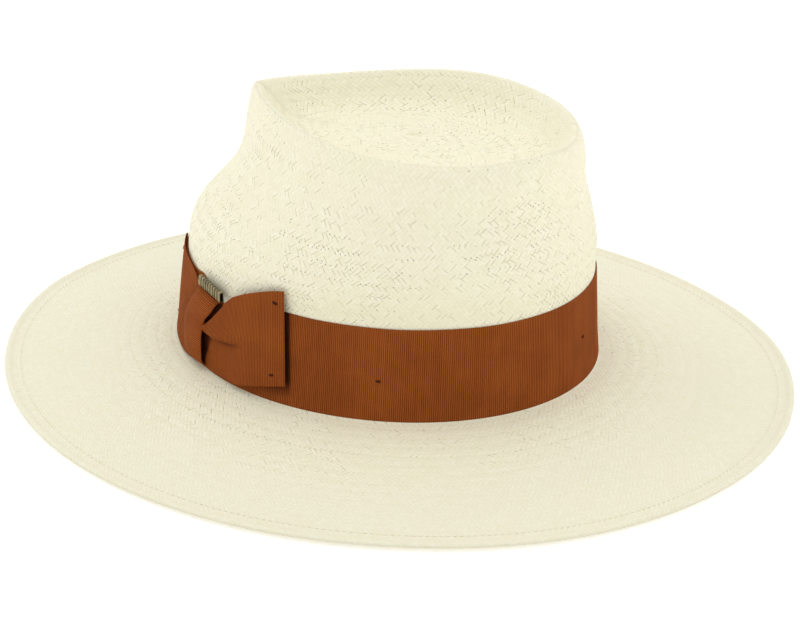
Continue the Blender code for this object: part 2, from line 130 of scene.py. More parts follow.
def placePiece(name, mesh, material):
    mesh.polygons.foreach_set("use_smooth", np.full(len(mesh.polygons), True))
    mesh.update(calc_edges=True)
    mesh.materials.append(material)
    piece = bpy.data.objects.new(name, mesh)
    bpy.context.scene.collection.objects.link(piece)
    return piece


def settle(piece, node):  # the hat has one body, and every piece rides on it
    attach(piece, "root")
    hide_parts(node)


def makePiece(name, points, faces, material, corners):  # a closed mesh of four-sided faces
    a, b, c, d = (points[faces[:, k]] for k in range(4))
    volume = (a * np.cross(b, c)).sum() + (a * np.cross(c, d)).sum()
    if volume < 0:  # the faces look outward
        faces, corners = faces[:, ::-1], corners[:, ::-1]
    mesh = bpy.data.meshes.new(name)
    mesh.vertices.add(len(points))
    mesh.vertices.foreach_set("co", points.ravel())
    mesh.loops.add(faces.size)
    mesh.loops.foreach_set("vertex_index", faces.ravel().astype(np.int32))
    mesh.polygons.add(len(faces))
    mesh.polygons.foreach_set("loop_start", np.arange(0, faces.size, 4, dtype=np.int32))
    addMaps(mesh, corners, "clothMap")
    piece = placePiece(name, mesh, material)
    mesh.validate()
    return piece


def gridFaces(rows, columns, loopRows=False, loopColumns=False):
    i, j = np.meshgrid(np.arange(rows if loopRows else rows - 1),
                       np.arange(columns if loopColumns else columns - 1), indexing="ij")
    k, m = (i + 1) % rows, (j + 1) % columns
    faces = np.stack([i * columns + j, i * columns + m, k * columns + m, k * columns + j], -1)
    places = np.stack([np.stack([i, j], -1), np.stack([i, j + 1], -1),
                       np.stack([i + 1, j + 1], -1), np.stack([i + 1, j], -1)], -2)
    return faces.reshape(-1, 4), places.reshape(-1, 4, 2)


def fanFaces(row, columns, hub, turned):  # from one row of points to a middle point, its number given twice
    k = np.arange(columns)
    near, far = row * columns + k, row * columns + (k + 1) % columns
    hubs = np.full(columns, hub)
    return np.stack([far, near, hubs, hubs] if turned else [near, far, hubs, hubs], -1)


def joinedPiece(name, points, parts, material, mapName):
    # several lists of faces over one set of points; a face with a doubled last corner is a triangle
    blank = [[0, 0, 0]] * 4
    polygons, coords = [], []
    for faces, corners in parts:
        for n, face in enumerate(faces.tolist()):
            count = 3 if face[-1] == face[-2] else 4
            polygons.append(face[:count])
            coords += (blank if corners is None else corners[n].tolist())[:count]
    mesh = bpy.data.meshes.new(name)
    mesh.from_pydata(points.tolist(), [], polygons)
    addMaps(mesh, coords, mapName)
    mesh.update(calc_edges=True)
    if sum(face.area * face.normal.dot(face.center) for face in mesh.polygons) < 0:
        mesh.flip_normals()
    return placePiece(name, mesh, material)


def gridNormals(grid, loopRows, loopColumns):
    def slope(axis, loop):
        if loop:
            return np.roll(grid, -1, axis) - np.roll(grid, 1, axis)
        return np.gradient(grid, axis=axis)
    normal = np.cross(slope(0, loopRows), slope(1, loopColumns))
    return normal / np.maximum(np.linalg.norm(normal, axis=-1, keepdims=True), 1e-12)


def sheetPiece(name, grid, thick, material, place, loopRows=False, relief=0.0, roundEdge=0.35):
    # a cloth of the given thickness round the middle surface; rows run along the ribbon, columns across it
    normal = gridNormals(grid, loopRows, False)
    half = np.full(grid.shape[:2], thick / 2)
    half[:, [0, -1]] *= roundEdge
    if not loopRows:
        half[[0, -1]] *= roundEdge
    half = (half + relief)[..., None]
    rows, columns = grid.shape[:2]
    front, back = grid + normal * half, grid - normal * half
    ring = np.concatenate([front, back[:, ::-1]], 1)  # across on the front, home on the back
    faces, places = gridFaces(rows, 2 * columns, loopRows, True)
    wide = np.concatenate([place, place[:, ::-1], place[:, :1]], 1)
    after = wide[:1].copy()  # the row that closes a loop goes on where the last row ends
    after[..., 0] += 2 * place[-1, 0, 0] - place[-2, 0, 0]
    wide = np.concatenate([wide, after], 0)
    corners = wide[places[..., 0], places[..., 1]]
    points = ring.reshape(-1, 3)
    if loopRows:
        return makePiece(name, points, faces, material, corners)
    n = 2 * columns
    caps, capCorners = [], []
    for row in (0, rows - 1):
        k = np.arange(columns - 1)
        caps.append(np.stack([row * n + k, row * n + k + 1, row * n + n - 2 - k, row * n + n - 1 - k], -1))
        capCorners.append(np.stack([place[row, k], place[row, k + 1], place[row, k + 1], place[row, k]], 1))
    caps[0] = caps[0][:, ::-1]
    capCorners[0] = capCorners[0][:, ::-1]
    faces = np.concatenate([faces, caps[1], caps[0]])
    corners = np.concatenate([corners, capCorners[1], capCorners[0]])
    return makePiece(name, points, faces, material, corners)


def addThreads(name, paths, radius, material, sides=6):
    # short lengths of thread in one mesh, each narrower at its ends
    allPoints, allFaces, base = [], [], 0
    turn = np.arange(sides) * -math.tau / sides  # this way round the faces look outward
    for path in paths:
        steps = len(path)
        ahead = np.gradient(path, axis=0)
        ahead /= np.maximum(np.linalg.norm(ahead, axis=1, keepdims=True), 1e-12)
        across = np.cross(ahead, [0.0, 0.0, 1.0])
        weak = np.linalg.norm(across, axis=1) < 1e-3
        across[weak] = np.cross(ahead[weak], [1.0, 0.0, 0.0])
        across /= np.linalg.norm(across, axis=1, keepdims=True)
        other = np.cross(across, ahead)
        size = np.full((steps, 1, 1), radius)
        size[[0, -1]] *= 0.45
        offset = across[:, None] * np.cos(turn)[:, None] + other[:, None] * np.sin(turn)[:, None]
        ring = path[:, None] + size * offset
        faces, _ = gridFaces(steps, sides, False, True)
        count = steps * sides
        allPoints.append(np.concatenate([ring.reshape(-1, 3), path[:1], path[-1:]]))
        allFaces += (faces + base).tolist()
        allFaces += (fanFaces(0, sides, count, True)[:, :3] + base).tolist()
        allFaces += (fanFaces(steps - 1, sides, count + 1, False)[:, :3] + base).tolist()
        base += count + 2
    mesh = bpy.data.meshes.new(name)
    mesh.from_pydata(np.concatenate(allPoints).tolist(), [], allFaces)
    return placePiece(name, mesh, material)


# Shader helpers

def put(tree, value, socket):
    if isinstance(value, bpy.types.NodeSocket):
        tree.links.new(value, socket)
    else:
        socket.default_value = value


def calc(tree, operation, *values):
    node = tree.nodes.new("ShaderNodeMath")
    node.operation = operation
    for value, socket in zip(values, node.inputs):
        put(tree, value, socket)
    return node.outputs[0]


def times(tree, first, second):
    return calc(tree, "MULTIPLY", first, second)


def plus(tree, first, second):
    return calc(tree, "ADD", first, second)


def minus(tree, first, second):
    return calc(tree, "SUBTRACT", first, second)


def timesPlus(tree, value, factor, added):
    return calc(tree, "MULTIPLY_ADD", value, factor, added)


def fromWhole(tree, value):  # how far a value is from the nearest whole number
    return calc(tree, "ABSOLUTE", minus(tree, value, calc(tree, "ROUND", value)))


def cosineNode(tree, value, swing):  # one turn for each whole number, lifted to lie between 0 and 1
    return timesPlus(tree, calc(tree, "COSINE", times(tree, value, math.tau)), swing, 0.5)


def remap(tree, value, low, high):  # 0 at low, 1 at high, smooth between
    node = tree.nodes.new("ShaderNodeMapRange")
    node.interpolation_type = "SMOOTHSTEP"
    for label, given in (("Value", value), ("From Min", low), ("From Max", high)):
        put(tree, given, node.inputs[label])
    return node.outputs[0]


def blendColor(tree, amount, first, second):
    node = tree.nodes.new("ShaderNodeMix")
    node.data_type = "RGBA"
    put(tree, amount, node.inputs[0])
    for given, socket in ((first, node.inputs[6]), (second, node.inputs[7])):
        put(tree, given if isinstance(given, bpy.types.NodeSocket) else (*given, 1.0), socket)
    return node.outputs[2]


def noise(tree, place, scale, detail):
    node = tree.nodes.new("ShaderNodeTexNoise")
    for label, value in (("Vector", place), ("Scale", scale), ("Detail", detail)):
        put(tree, value, node.inputs[label])
    return node.outputs["Fac"]


def whiteNoise(tree, x, y):
    pair = tree.nodes.new("ShaderNodeCombineXYZ")
    put(tree, x, pair.inputs[0])
    put(tree, y, pair.inputs[1])
    node = tree.nodes.new("ShaderNodeTexWhiteNoise")
    node.noise_dimensions = "2D"
    tree.links.new(pair.outputs[0], node.inputs["Vector"])
    return node.outputs["Value"]


def apart(tree, vector):
    node = tree.nodes.new("ShaderNodeSeparateXYZ")
    tree.links.new(vector, node.inputs[0])
    return node.outputs[0], node.outputs[1], node.outputs[2]


def newGroup(name, inputs, outputs):
    group = bpy.data.node_groups.new(name, "ShaderNodeTree")
    for label, kind, value in inputs:
        socket = group.interface.new_socket(label, in_out="INPUT", socket_type="NodeSocket" + kind)
        if kind == "Float":
            socket.default_value = value
    for label, kind in outputs:
        group.interface.new_socket(label, in_out="OUTPUT", socket_type="NodeSocket" + kind)
    return group, group.nodes.new("NodeGroupInput").outputs, group.nodes.new("NodeGroupOutput").inputs


def placeGroup(tree, group, **values):
    node = tree.nodes.new("ShaderNodeGroup")
    node.node_tree = group
    for label, value in values.items():
        put(tree, value, node.inputs[label])
    return node.outputs


def newMaterial(name, color, roughness, **sockets):
    material = bpy.data.materials.new(name)
    material.use_nodes = True
    tree = material.node_tree
    shader = tree.nodes["Principled BSDF"]
    shader.inputs["Base Color"].default_value = (*color, 1)
    shader.inputs["Roughness"].default_value = roughness
    for label, value in sockets.items():
        shader.inputs[label.replace("_", " ")].default_value = value
    return material, tree, shader


def bumpInto(tree, shader, height, distance):
    node = tree.nodes.new("ShaderNodeBump")
    node.inputs["Distance"].default_value = distance
    node.inputs["Strength"].default_value = 1.0
    tree.links.new(height, node.inputs["Height"])
    tree.links.new(node.outputs[0], shader.inputs["Normal"])


def mapPlace(tree, name):
    node = tree.nodes.new("ShaderNodeUVMap")
    node.uv_map = name
    return node.outputs[0]


def objectPlace(tree):
    return tree.nodes.new("ShaderNodeTexCoord").outputs["Object"]


# Braided straw: flat strands crossing on the diagonal, two over and two under, looser along each course

def makeBraidGroup():
    group, given, result = newGroup(
        "braidedStraw",
        [("Place", "Vector", None), ("Body", "Vector", None), ("Courses", "Float", 2.6),
         ("Looseness", "Float", 0.5)],
        [("Height", "Float"), ("Tone", "Float"), ("Hole", "Float"), ("FleckAndShine", "Float"), ("Line", "Float")])
    u, v, _ = apart(group, given["Place"])
    rise = times(group, v, given["Courses"])
    a, b = plus(group, u, rise), minus(group, u, rise)  # the two ways that the strands run
    wholeA, wholeB = calc(group, "FLOOR", a), calc(group, "FLOOR", b)
    partA, partB = minus(group, a, wholeA), minus(group, b, wholeB)
    runA = minus(group, a, wholeB)
    runB = minus(group, minus(group, b, wholeA), 1.0)
    alongA = calc(group, "FLOORED_MODULO", runA, 4.0)
    alongB = calc(group, "FLOORED_MODULO", runB, 4.0)
    overA = calc(group, "LESS_THAN", alongA, 2.0)

    def onTop(first, second):
        return plus(group, times(group, overA, first), times(group, minus(group, 1.0, overA), second))

    def strand(part, along):
        across = calc(group, "POWER", calc(group, "ABSOLUTE", timesPlus(group, part, 2.0, -1.0)), 4.0)
        end = calc(group, "POWER", calc(group, "ABSOLUTE", minus(group, along, 1.0)), 5.0)
        dip = minus(group, 1.0, times(group, calc(group, "MINIMUM", end, 1.0), 0.75))
        return times(group, minus(group, 1.0, across), dip)

    picked = onTop(strand(partB, alongA), strand(partA, alongB))
    strandIndex = onTop(wholeB, plus(group, wholeA, 57.3))
    tone = whiteNoise(group, strandIndex, calc(group, "FLOOR", times(group, v, 0.5)))

    # small gaps at the crossings, most of them along the courses and in loose patches
    nearestA, nearestB = calc(group, "ROUND", a), calc(group, "ROUND", b)
    lying = whiteNoise(group, nearestB, plus(group, nearestA, 4.3))
    lying = remap(group, lying, 0.45, 0.55)  # which way a gap lies
    longA = times(group, fromWhole(group, a), timesPlus(group, lying, 1.35, 0.75))
    longB = times(group, fromWhole(group, b), timesPlus(group, lying, -1.35, 2.10))
    corner = calc(group, "SQRT", plus(group, times(group, longA, longA), times(group, longB, longB)))
    row = remap(group, fromWhole(group, v), 0.22, 0.08)
    luck = whiteNoise(group, nearestA, plus(group, nearestB, 11.7))
    patch = remap(group, noise(group, given["Body"], 26.0, 3.0), 0.34, 0.62)
    openness = times(group, timesPlus(group, row, 0.80, 0.16), timesPlus(group, patch, 0.85, 0.15))
    openness = times(group, openness, times(group, given["Looseness"], 1.25))
    there = remap(group, minus(group, openness, luck), -0.06, 0.45)
    hole = times(group, remap(group, corner, 0.30, 0.12), there)

    # a strand that lies loose gets a thin painted shadow along one edge and a painted highlight on the other
    lengthA = calc(group, "FLOOR", times(group, runA, 0.25))
    lengthB = calc(group, "FLOOR", times(group, runB, 0.25))
    length = onTop(lengthA, lengthB)
    looseLuck = whiteNoise(group, strandIndex, plus(group, length, 0.37))
    slack = times(group, given["Looseness"], timesPlus(group, patch, 0.55, 0.40))
    loose = remap(group, minus(group, plus(group, looseLuck, slack), 1.0), 0.0, 0.30)
    side = onTop(partB, partA)
    line = times(group, remap(group, side, 0.83, 0.96), loose)
    shine = times(group, remap(group, side, 0.24, 0.08), times(group, loose, 0.8))
    fleckLuck = whiteNoise(group, plus(group, wholeA, 3.1), plus(group, wholeB, 7.7))
    fleck = times(group, remap(group, fleckLuck, 0.80, 0.97), times(group, picked, there))
    sunk = calc(group, "MAXIMUM", hole, times(group, line, 0.6))
    height = minus(group, picked, times(group, sunk, 0.9))
    flecksAndShine = calc(group, "MAXIMUM", fleck, shine)
    group.links.new(height, result["Height"])
    group.links.new(tone, result["Tone"])
    group.links.new(hole, result["Hole"])
    group.links.new(line, result["Line"])
    group.links.new(flecksAndShine, result["FleckAndShine"])
    return group


def makeMottleGroup():  # broad uneven colour, used by straw, cloth and leather
    group, given, result = newGroup("mottle", [("Body", "Vector", None), ("Size", "Float", 30.0)],
                                    [("Broad", "Float"), ("Fine", "Float")])
    for label, factor, detail in (("Broad", 1.0, 2.0), ("Fine", 9.0, 4.0)):
        cloud = noise(group, given["Body"], times(group, given["Size"], factor), detail)
        group.links.new(remap(group, cloud, 0.3, 0.7), result[label])
    return group


def makeRibGroup():  # corded ribbon: thick cords across it, fine threads along it
    group, given, result = newGroup(
        "ribbedRibbon", [("Place", "Vector", None), ("Pitch", "Float", 0.97), ("Thread", "Float", 0.24)],
        [("Height", "Float"), ("Groove", "Float"), ("Tone", "Float")])
    x, y, _ = apart(group, given["Place"])
    turn = calc(group, "DIVIDE", x, given["Pitch"])
    line = calc(group, "DIVIDE", y, given["Thread"])
    cord, thread = cosineNode(group, turn, 0.5), cosineNode(group, line, -0.5)
    nearest = calc(group, "ROUND", turn)
    threadTone = whiteNoise(group, calc(group, "FLOOR", line), nearest)
    uneven = times(group, whiteNoise(group, nearest, 3.0), 0.5)
    group.links.new(timesPlus(group, thread, 0.35, cord), result["Height"])
    group.links.new(remap(group, cord, 0.45, 0.0), result["Groove"])
    group.links.new(timesPlus(group, threadTone, 0.5, uneven), result["Tone"])
    return group


braid, mottle, rib = makeBraidGroup(), makeMottleGroup(), makeRibGroup()

strawFinish = {
    # deep also lays painted shade in the low parts of the weave, between strands and at their ends
    "light": (0.898, 0.868, 0.672), "deep": (0.78, 0.735, 0.500),
    # worn is painted shade: the outer brim made greyer and darker
    "pink": (0.90, 0.838, 0.655), "green": (0.850, 0.864, 0.660), "worn": (0.800, 0.790, 0.640),
    # fleck also lays a painted highlight, and line a painted shadow, along loose strands
    "fleck": (0.98, 0.96, 0.85), "hole": (0.20, 0.175, 0.085), "line": (0.42, 0.375, 0.190),
    # under is painted shade on the rolled edge of the brim
    "under": (0.42, 0.36, 0.25),
    "roughness": 0.66, "relief": 0.00014, "looseness": 0.60,
    "brimTight": (0.105, 0.158), "topTight": (0.118, 0.130), "crownFoot": (0.024, 0.040),
}


def makeStraw():
    f = strawFinish
    material, tree, shader = newMaterial("braidedToquilla", f["light"], f["roughness"],
                                         Specular_IOR_Level=0.35)
    body = objectPlace(tree)
    x, y, z = apart(tree, body)
    fromMiddle = calc(tree, "SQRT", plus(tree, times(tree, x, x), times(tree, y, y)))
    outer = remap(tree, fromMiddle, *f["brimTight"])  # outer courses are woven tighter, and the crown's top
    onCrown = remap(tree, z, *f["crownFoot"])
    ofCourse = timesPlus(tree, outer, -0.86, 1.0)
    ofCourse = times(tree, ofCourse, timesPlus(tree, remap(tree, z, *f["topTight"]), -0.45, 1.0))
    ofCourse = times(tree, ofCourse, timesPlus(tree, onCrown, 0.45, 0.55))
    place = mapPlace(tree, "weaveMap")
    weave = placeGroup(tree, braid, Place=place, Body=body, Looseness=times(tree, ofCourse, f["looseness"]))
    _, courses, _ = apart(tree, place)
    seam = times(tree, ofCourse, remap(tree, z, 0.030, 0.016))  # the brim's courses show as faint rings
    seam = times(tree, remap(tree, fromWhole(tree, courses), 0.20, 0.02), seam)
    spots = placeGroup(tree, mottle, Body=body, Size=38.0)
    # painted shade: darker in the low parts of the weave, between strands and at their ends
    edge = times(tree, remap(tree, weave["Height"], 0.34, 0.04), timesPlus(tree, spots["Fine"], 0.45, 0.22))
    # painted shade on the rolled edge, from the shade map
    edgeShade, _, _ = apart(tree, mapPlace(tree, "paintedShadeMap"))
    color = blendColor(tree, times(tree, spots["Broad"], 0.55), f["pink"], f["green"])
    color = blendColor(tree, 0.55, color, f["light"])
    # painted shade: the outer brim is painted greyer and darker
    for amount, tint in ((times(tree, outer, 0.45), "worn"), (times(tree, weave["Tone"], 0.28), "deep"),
                         (times(tree, edge, timesPlus(tree, onCrown, 1.5, 0.8)), "deep"),
                         # besides real flecks, a painted highlight along loose strands; the line tint below is
                         # a painted shadow
                         (times(tree, seam, 0.35), "deep"), (times(tree, weave["FleckAndShine"], 0.7), "fleck"),
                         (times(tree, weave["Hole"], 0.80), "hole"),
                         (times(tree, weave["Line"], 0.66), "line"),
                         (times(tree, edgeShade, 0.42), "under")):
        color = blendColor(tree, amount, color, f[tint])
    tree.links.new(color, shader.inputs["Base Color"])
    tree.links.new(timesPlus(tree, weave["Tone"], 0.14, f["roughness"] - 0.07), shader.inputs["Roughness"])
    bumpInto(tree, shader, minus(tree, weave["Height"], times(tree, seam, 0.5)), f["relief"])
    return material


ribbonFinish = {
    "base": (0.320, 0.0740, 0.0100), "lit": (0.440, 0.126, 0.0260),
    # painted shade: groove darkens the grooves between cords and also tints broad mottled patches; fold
    # darkens folds and hollows
    "groove": (0.050, 0.0085, 0.0014), "fold": (0.030, 0.0050, 0.0022),
    "roughness": 0.70, "relief": 0.00010, "pitch": 0.97,  # the pitch is in the cloth map's millimetres
}


def makeRibbonCloth():
    f = ribbonFinish
    material, tree, shader = newMaterial("brownGrosgrain", f["base"], f["roughness"], Sheen_Weight=0.02,
                                         Sheen_Roughness=0.4, Specular_IOR_Level=0.08)
    shader.inputs["Sheen Tint"].default_value = (0.85, 0.42, 0.22, 1)
    ribs = placeGroup(tree, rib, Place=mapPlace(tree, "clothMap"), Pitch=f["pitch"])
    spots = placeGroup(tree, mottle, Body=objectPlace(tree), Size=55.0)
    # how much painted shade a fold or hollow gets
    deep, _, _ = apart(tree, mapPlace(tree, "paintedShadeMap"))
    color = blendColor(tree, times(tree, ribs["Tone"], 0.45), f["base"], f["lit"])
    for amount, tint in ((times(tree, spots["Broad"], 0.18), "groove"),
                         # painted shade in the grooves between cords and in the folds
                         (times(tree, ribs["Groove"], 0.80), "groove"), (times(tree, deep, 0.94), "fold")):
        color = blendColor(tree, amount, color, f[tint])
    tree.links.new(color, shader.inputs["Base Color"])
    tree.links.new(timesPlus(tree, ribs["Groove"], 0.2, f["roughness"]), shader.inputs["Roughness"])
    bumpInto(tree, shader, ribs["Height"], f["relief"])
    return material


def makeThread(name, color, dark):
    material, tree, shader = newMaterial(name, color, 0.8, Specular_IOR_Level=0.1)
    spots = placeGroup(tree, mottle, Body=objectPlace(tree), Size=900.0)
    tree.links.new(blendColor(tree, spots["Broad"], color, dark), shader.inputs["Base Color"])
    bumpInto(tree, shader, spots["Fine"], 0.00005)
    return material


def makeLeather():
    material, tree, shader = newMaterial("sweatLeather", (0.24, 0.115, 0.05), 0.5)
    body = objectPlace(tree)
    cells = tree.nodes.new("ShaderNodeTexVoronoi")
    cells.feature = "DISTANCE_TO_EDGE"
    cells.inputs["Scale"].default_value = 1100.0
    tree.links.new(body, cells.inputs["Vector"])
    grain = remap(tree, cells.outputs["Distance"], 0.0, 0.12)
    spots = placeGroup(tree, mottle, Body=body, Size=28.0)
    color = blendColor(tree, times(tree, spots["Broad"], 0.6), (0.26, 0.125, 0.055), (0.17, 0.075, 0.03))
    color = blendColor(tree, times(tree, minus(tree, 1.0, grain), 0.45), color, (0.10, 0.04, 0.015))
    tree.links.new(color, shader.inputs["Base Color"])
    tree.links.new(timesPlus(tree, spots["Fine"], 0.2, 0.42), shader.inputs["Roughness"])
    bumpInto(tree, shader, timesPlus(tree, spots["Fine"], 0.4, grain), 0.00012)
    return material


def makeTape(name, color, dark):
    material, tree, shader = newMaterial(name, color, 0.85, Sheen_Weight=0.2)
    ribs = placeGroup(tree, rib, Place=mapPlace(tree, "clothMap"), Pitch=0.55, Thread=0.5)
    # painted shade in the grooves between cords; the tone adds random darker threads
    mix = blendColor(tree, times(tree, ribs["Groove"], 0.6), color, dark)
    mix = blendColor(tree, times(tree, ribs["Tone"], 0.3), mix, dark)
    tree.links.new(mix, shader.inputs["Base Color"])
    bumpInto(tree, shader, ribs["Height"], 0.00008)
    return material


def makeBrass():
    material, tree, shader = newMaterial("agedBrass", (0.42, 0.37, 0.22), 0.38, Metallic=0.95)
    spots = placeGroup(tree, mottle, Body=objectPlace(tree), Size=420.0)
    _, high, _ = apart(tree, mapPlace(tree, "clothMap"))  # 1 on the worn high parts, 0 down in a groove
    worn = times(tree, high, spots["Broad"])
    color = blendColor(tree, times(tree, spots["Fine"], 0.6), (0.20, 0.165, 0.090), (0.11, 0.09, 0.05))
    color = blendColor(tree, remap(tree, high, 0.75, 0.1), color, (0.030, 0.024, 0.014))
    color = blendColor(tree, times(tree, worn, 0.8), color, (0.46, 0.385, 0.20))
    tree.links.new(color, shader.inputs["Base Color"])
    tree.links.new(timesPlus(tree, spots["Fine"], 0.3, 0.28), shader.inputs["Roughness"])
    bumpInto(tree, shader, spots["Fine"], 0.00004)
    return material


def makeSteel():
    material, tree, shader = newMaterial("brimWireSteel", (0.5, 0.5, 0.5), 0.35, Metallic=1.0)
    spots = placeGroup(tree, mottle, Body=objectPlace(tree), Size=300.0)
    color = blendColor(tree, spots["Fine"], (0.55, 0.55, 0.54), (0.38, 0.37, 0.36))
    tree.links.new(color, shader.inputs["Base Color"])
    return material


def makeReed():
    material, tree, shader = newMaterial("reedPlastic", (0.7, 0.69, 0.64), 0.4)
    spots = placeGroup(tree, mottle, Body=objectPlace(tree), Size=200.0)
    color = blendColor(tree, spots["Broad"], (0.72, 0.71, 0.66), (0.62, 0.60, 0.54))
    tree.links.new(color, shader.inputs["Base Color"])
    return material


strawMaterial = makeStraw()
bandCloth = makeRibbonCloth()
paleThread = makeThread("paleThread", (0.88, 0.85, 0.66), (0.78, 0.74, 0.54))
brownThread = makeThread("brownThread", (0.085, 0.018, 0.006), (0.040, 0.008, 0.003))
leather, brass = makeLeather(), makeBrass()
cottonTape = makeTape("cottonTape", (0.60, 0.52, 0.38), (0.40, 0.33, 0.22))
labelCloth = makeTape("wovenLabel", (0.82, 0.80, 0.74), (0.62, 0.60, 0.54))
print("finishes made")


# The straw body: crown, brim and folded edge in one

strawShape = {
    "columns": 440, "coursePitch": 0.0068, "cellPitch": 0.0026, "rowsPerCourse": 3,
    "courseRelief": 0.00015, "forwardLean": 0.012, "edgeSquash": 0.68, "edgeLift": 0.0017, "flatSide": 116.0,
    # degrees from the front towards the wearer's left, share by which the brim reaches past an even oval
    "reach": [(0, 0.0098), (30, -0.0046), (60, -0.0120), (90, -0.0190), (116, -0.0235), (140, -0.0165),
              (160, -0.0140), (180, -0.0078), (200, -0.0030), (220, 0.0010), (240, -0.0150), (260, -0.0240),
              (300, -0.0230), (330, -0.0145), (345, -0.0030), (360, 0.0098)],
    # the same degrees, how far the crest of the crown lies below its highest level
    "crestDrop": [(0, 0.0010), (30, 0.0), (90, 0.0), (150, 0.0), (165, 0.0008), (180, 0.0026), (195, 0.0038),
                  (210, 0.0036), (225, 0.0030), (240, 0.0022), (255, 0.0008), (270, 0.0003), (285, 0.0012),
                  (300, 0.0021), (315, 0.0023), (330, 0.0016), (345, 0.0011), (360, 0.0010)],
    "pinch": 0.052, "pinchAngle": 122.0, "pinchSpread": 29.0, "pinchLevel": 0.80, "pinchHeight": 0.11,
    # height, forward, half length, half width (shares of the head sizes), point at the front, squareness
    "crownSections": [
        (0.3866, -0.007, 0.9835, 0.9495, 0.00, 1.00), (0.510, -0.017, 0.977, 0.955, 0.12, 1.02),
        (0.711, -0.081, 0.859, 0.882, 0.36, 1.00), (0.896, -0.103, 0.840, 0.764, 0.64, 1.05),
        (1.007, -0.112, 0.809, 0.676, 0.55, 1.08), (0.985, -0.116, 0.745, 0.612, 0.50, 1.08),
        (0.912, -0.120, 0.655, 0.510, 0.45, 1.05), (0.884, -0.120, 0.540, 0.390, 0.40, 1.00),
        (0.905, -0.115, 0.230, 0.165, 0.20, 1.00), (0.909, -0.115, 0.008, 0.007, 0.00, 1.00)],
    # share of the brim's width, share of its fall
    "brimLevels": [(0.004, 0.002), (0.03, 0.020), (0.15, 0.128), (0.35, 0.351), (0.60, 0.649), (0.80, 0.878)],
    "hemWidth": 0.0090, "hemRise": 0.0010, "restFromEdge": 0.0034,
    "hemStep": 0.55,  # share of the hem's width where its two layers meet
    "wireRadius": 0.0006, "wireFromEdge": 0.0020,
    # rollShade is painted shade on the rolled edge
    "rollStart": 8, "rollShade": (0.2, 0.5, 0.8, 1.0, 1.0, 0.8, 0.4),  # shade on the rolled edge, row by row
}


def sideReach(angle, point, square):
    s = np.sin(angle)
    return np.sign(s) * np.abs(s) ** square * np.abs(np.sin(angle / 2)) ** point


def crownRing(section, angle):
    s = strawShape
    height, forward, length, width, point, square = section
    point = max(point, 0)
    widest = sideReach(np.linspace(0, math.pi, 181), point, square).max()
    along = (forward + length * np.cos(angle)) * hatForm["headHalfLength"]
    side = width * hatForm["headHalfWidth"] * sideReach(angle, point, square) / widest
    rise = height * hatForm["crownHeight"] - byDirection(s["crestDrop"], angle) * ease(0.80, 1.0, height)
    for sign in (1, -1):  # a soft hollow in each side, below the rim
        off = (np.degrees(angle) - sign * s["pinchAngle"] + 180) % 360 - 180
        level = hump(height, s["pinchLevel"], s["pinchHeight"])
        draw = 1 - s["pinch"] * hump(off, 0, s["pinchSpread"]) * level
        along, side = along * draw, side * draw
    return hatPoint(along + s["forwardLean"] * np.maximum(0.0, rise - hatForm["ribbonWidth"]), side, rise)


def byDirection(table, angle):  # a value that changes smoothly round the hat, from (degrees, value) pairs
    return alongTable(table, np.mod(np.degrees(angle), 360))[..., 1]


def brimReach(angle):  # the edge isn't a perfect oval: a little fuller or flatter round the hat
    return 1 + byDirection(strawShape["reach"], angle)


def brimLift(angle):  # and it stands a little off the table on one side
    turn = np.asarray(angle) - math.radians(strawShape["flatSide"])
    return strawShape["edgeLift"] * np.clip(0.5 + 0.5 * np.cos(turn), 0, 1) ** 2


def edgeRing(fromEdge, height, angle):
    reach = brimReach(angle)
    x = (hatForm["brimHalfLength"] * reach - fromEdge) * np.cos(angle)
    y = (hatForm["brimHalfWidth"] * reach - fromEdge) * np.sin(angle)
    return np.stack([y, -x, height * strawShape["edgeSquash"] + brimLift(angle)], -1)


def foldHeight(fromEdge):
    s = strawShape
    return s["hemRise"] * max(0.0, fromEdge - s["restFromEdge"]) / (s["hemWidth"] - s["restFromEdge"])


def hemTop():
    return foldHeight(strawShape["hemWidth"]) + 1.9 * hatForm["strawThick"] + gap


def brimRing(share, fall, angle):
    h = hatForm
    reach = brimReach(angle)
    length = h["headHalfLength"] + share * (h["brimHalfLength"] * reach - h["headHalfLength"])
    width = h["headHalfWidth"] + share * (h["brimHalfWidth"] * reach - h["headHalfWidth"])
    along = -h["brimSetBack"] * share + length * np.cos(angle)
    edge = hemTop() * strawShape["edgeSquash"] + brimLift(angle)
    height = h["headline"] - (h["headline"] - edge) * fall - h["lean"] * along * (1 - share)
    return np.stack([width * np.sin(angle), -(along + h["brimSetBack"]), height], -1)


def resampleRings(rings, keys, pitch, perCourse):
    # rows evenly spaced along the surface, so that every course of the weave has the same height
    fine = np.linspace(0, len(keys) - 1, 420)
    reach = rowReach(rings(fine))
    courses = round(reach[-1] / pitch)
    wanted = np.linspace(0, reach[-1], courses * perCourse + 1)
    return rings(np.interp(wanted, reach, fine)), courses


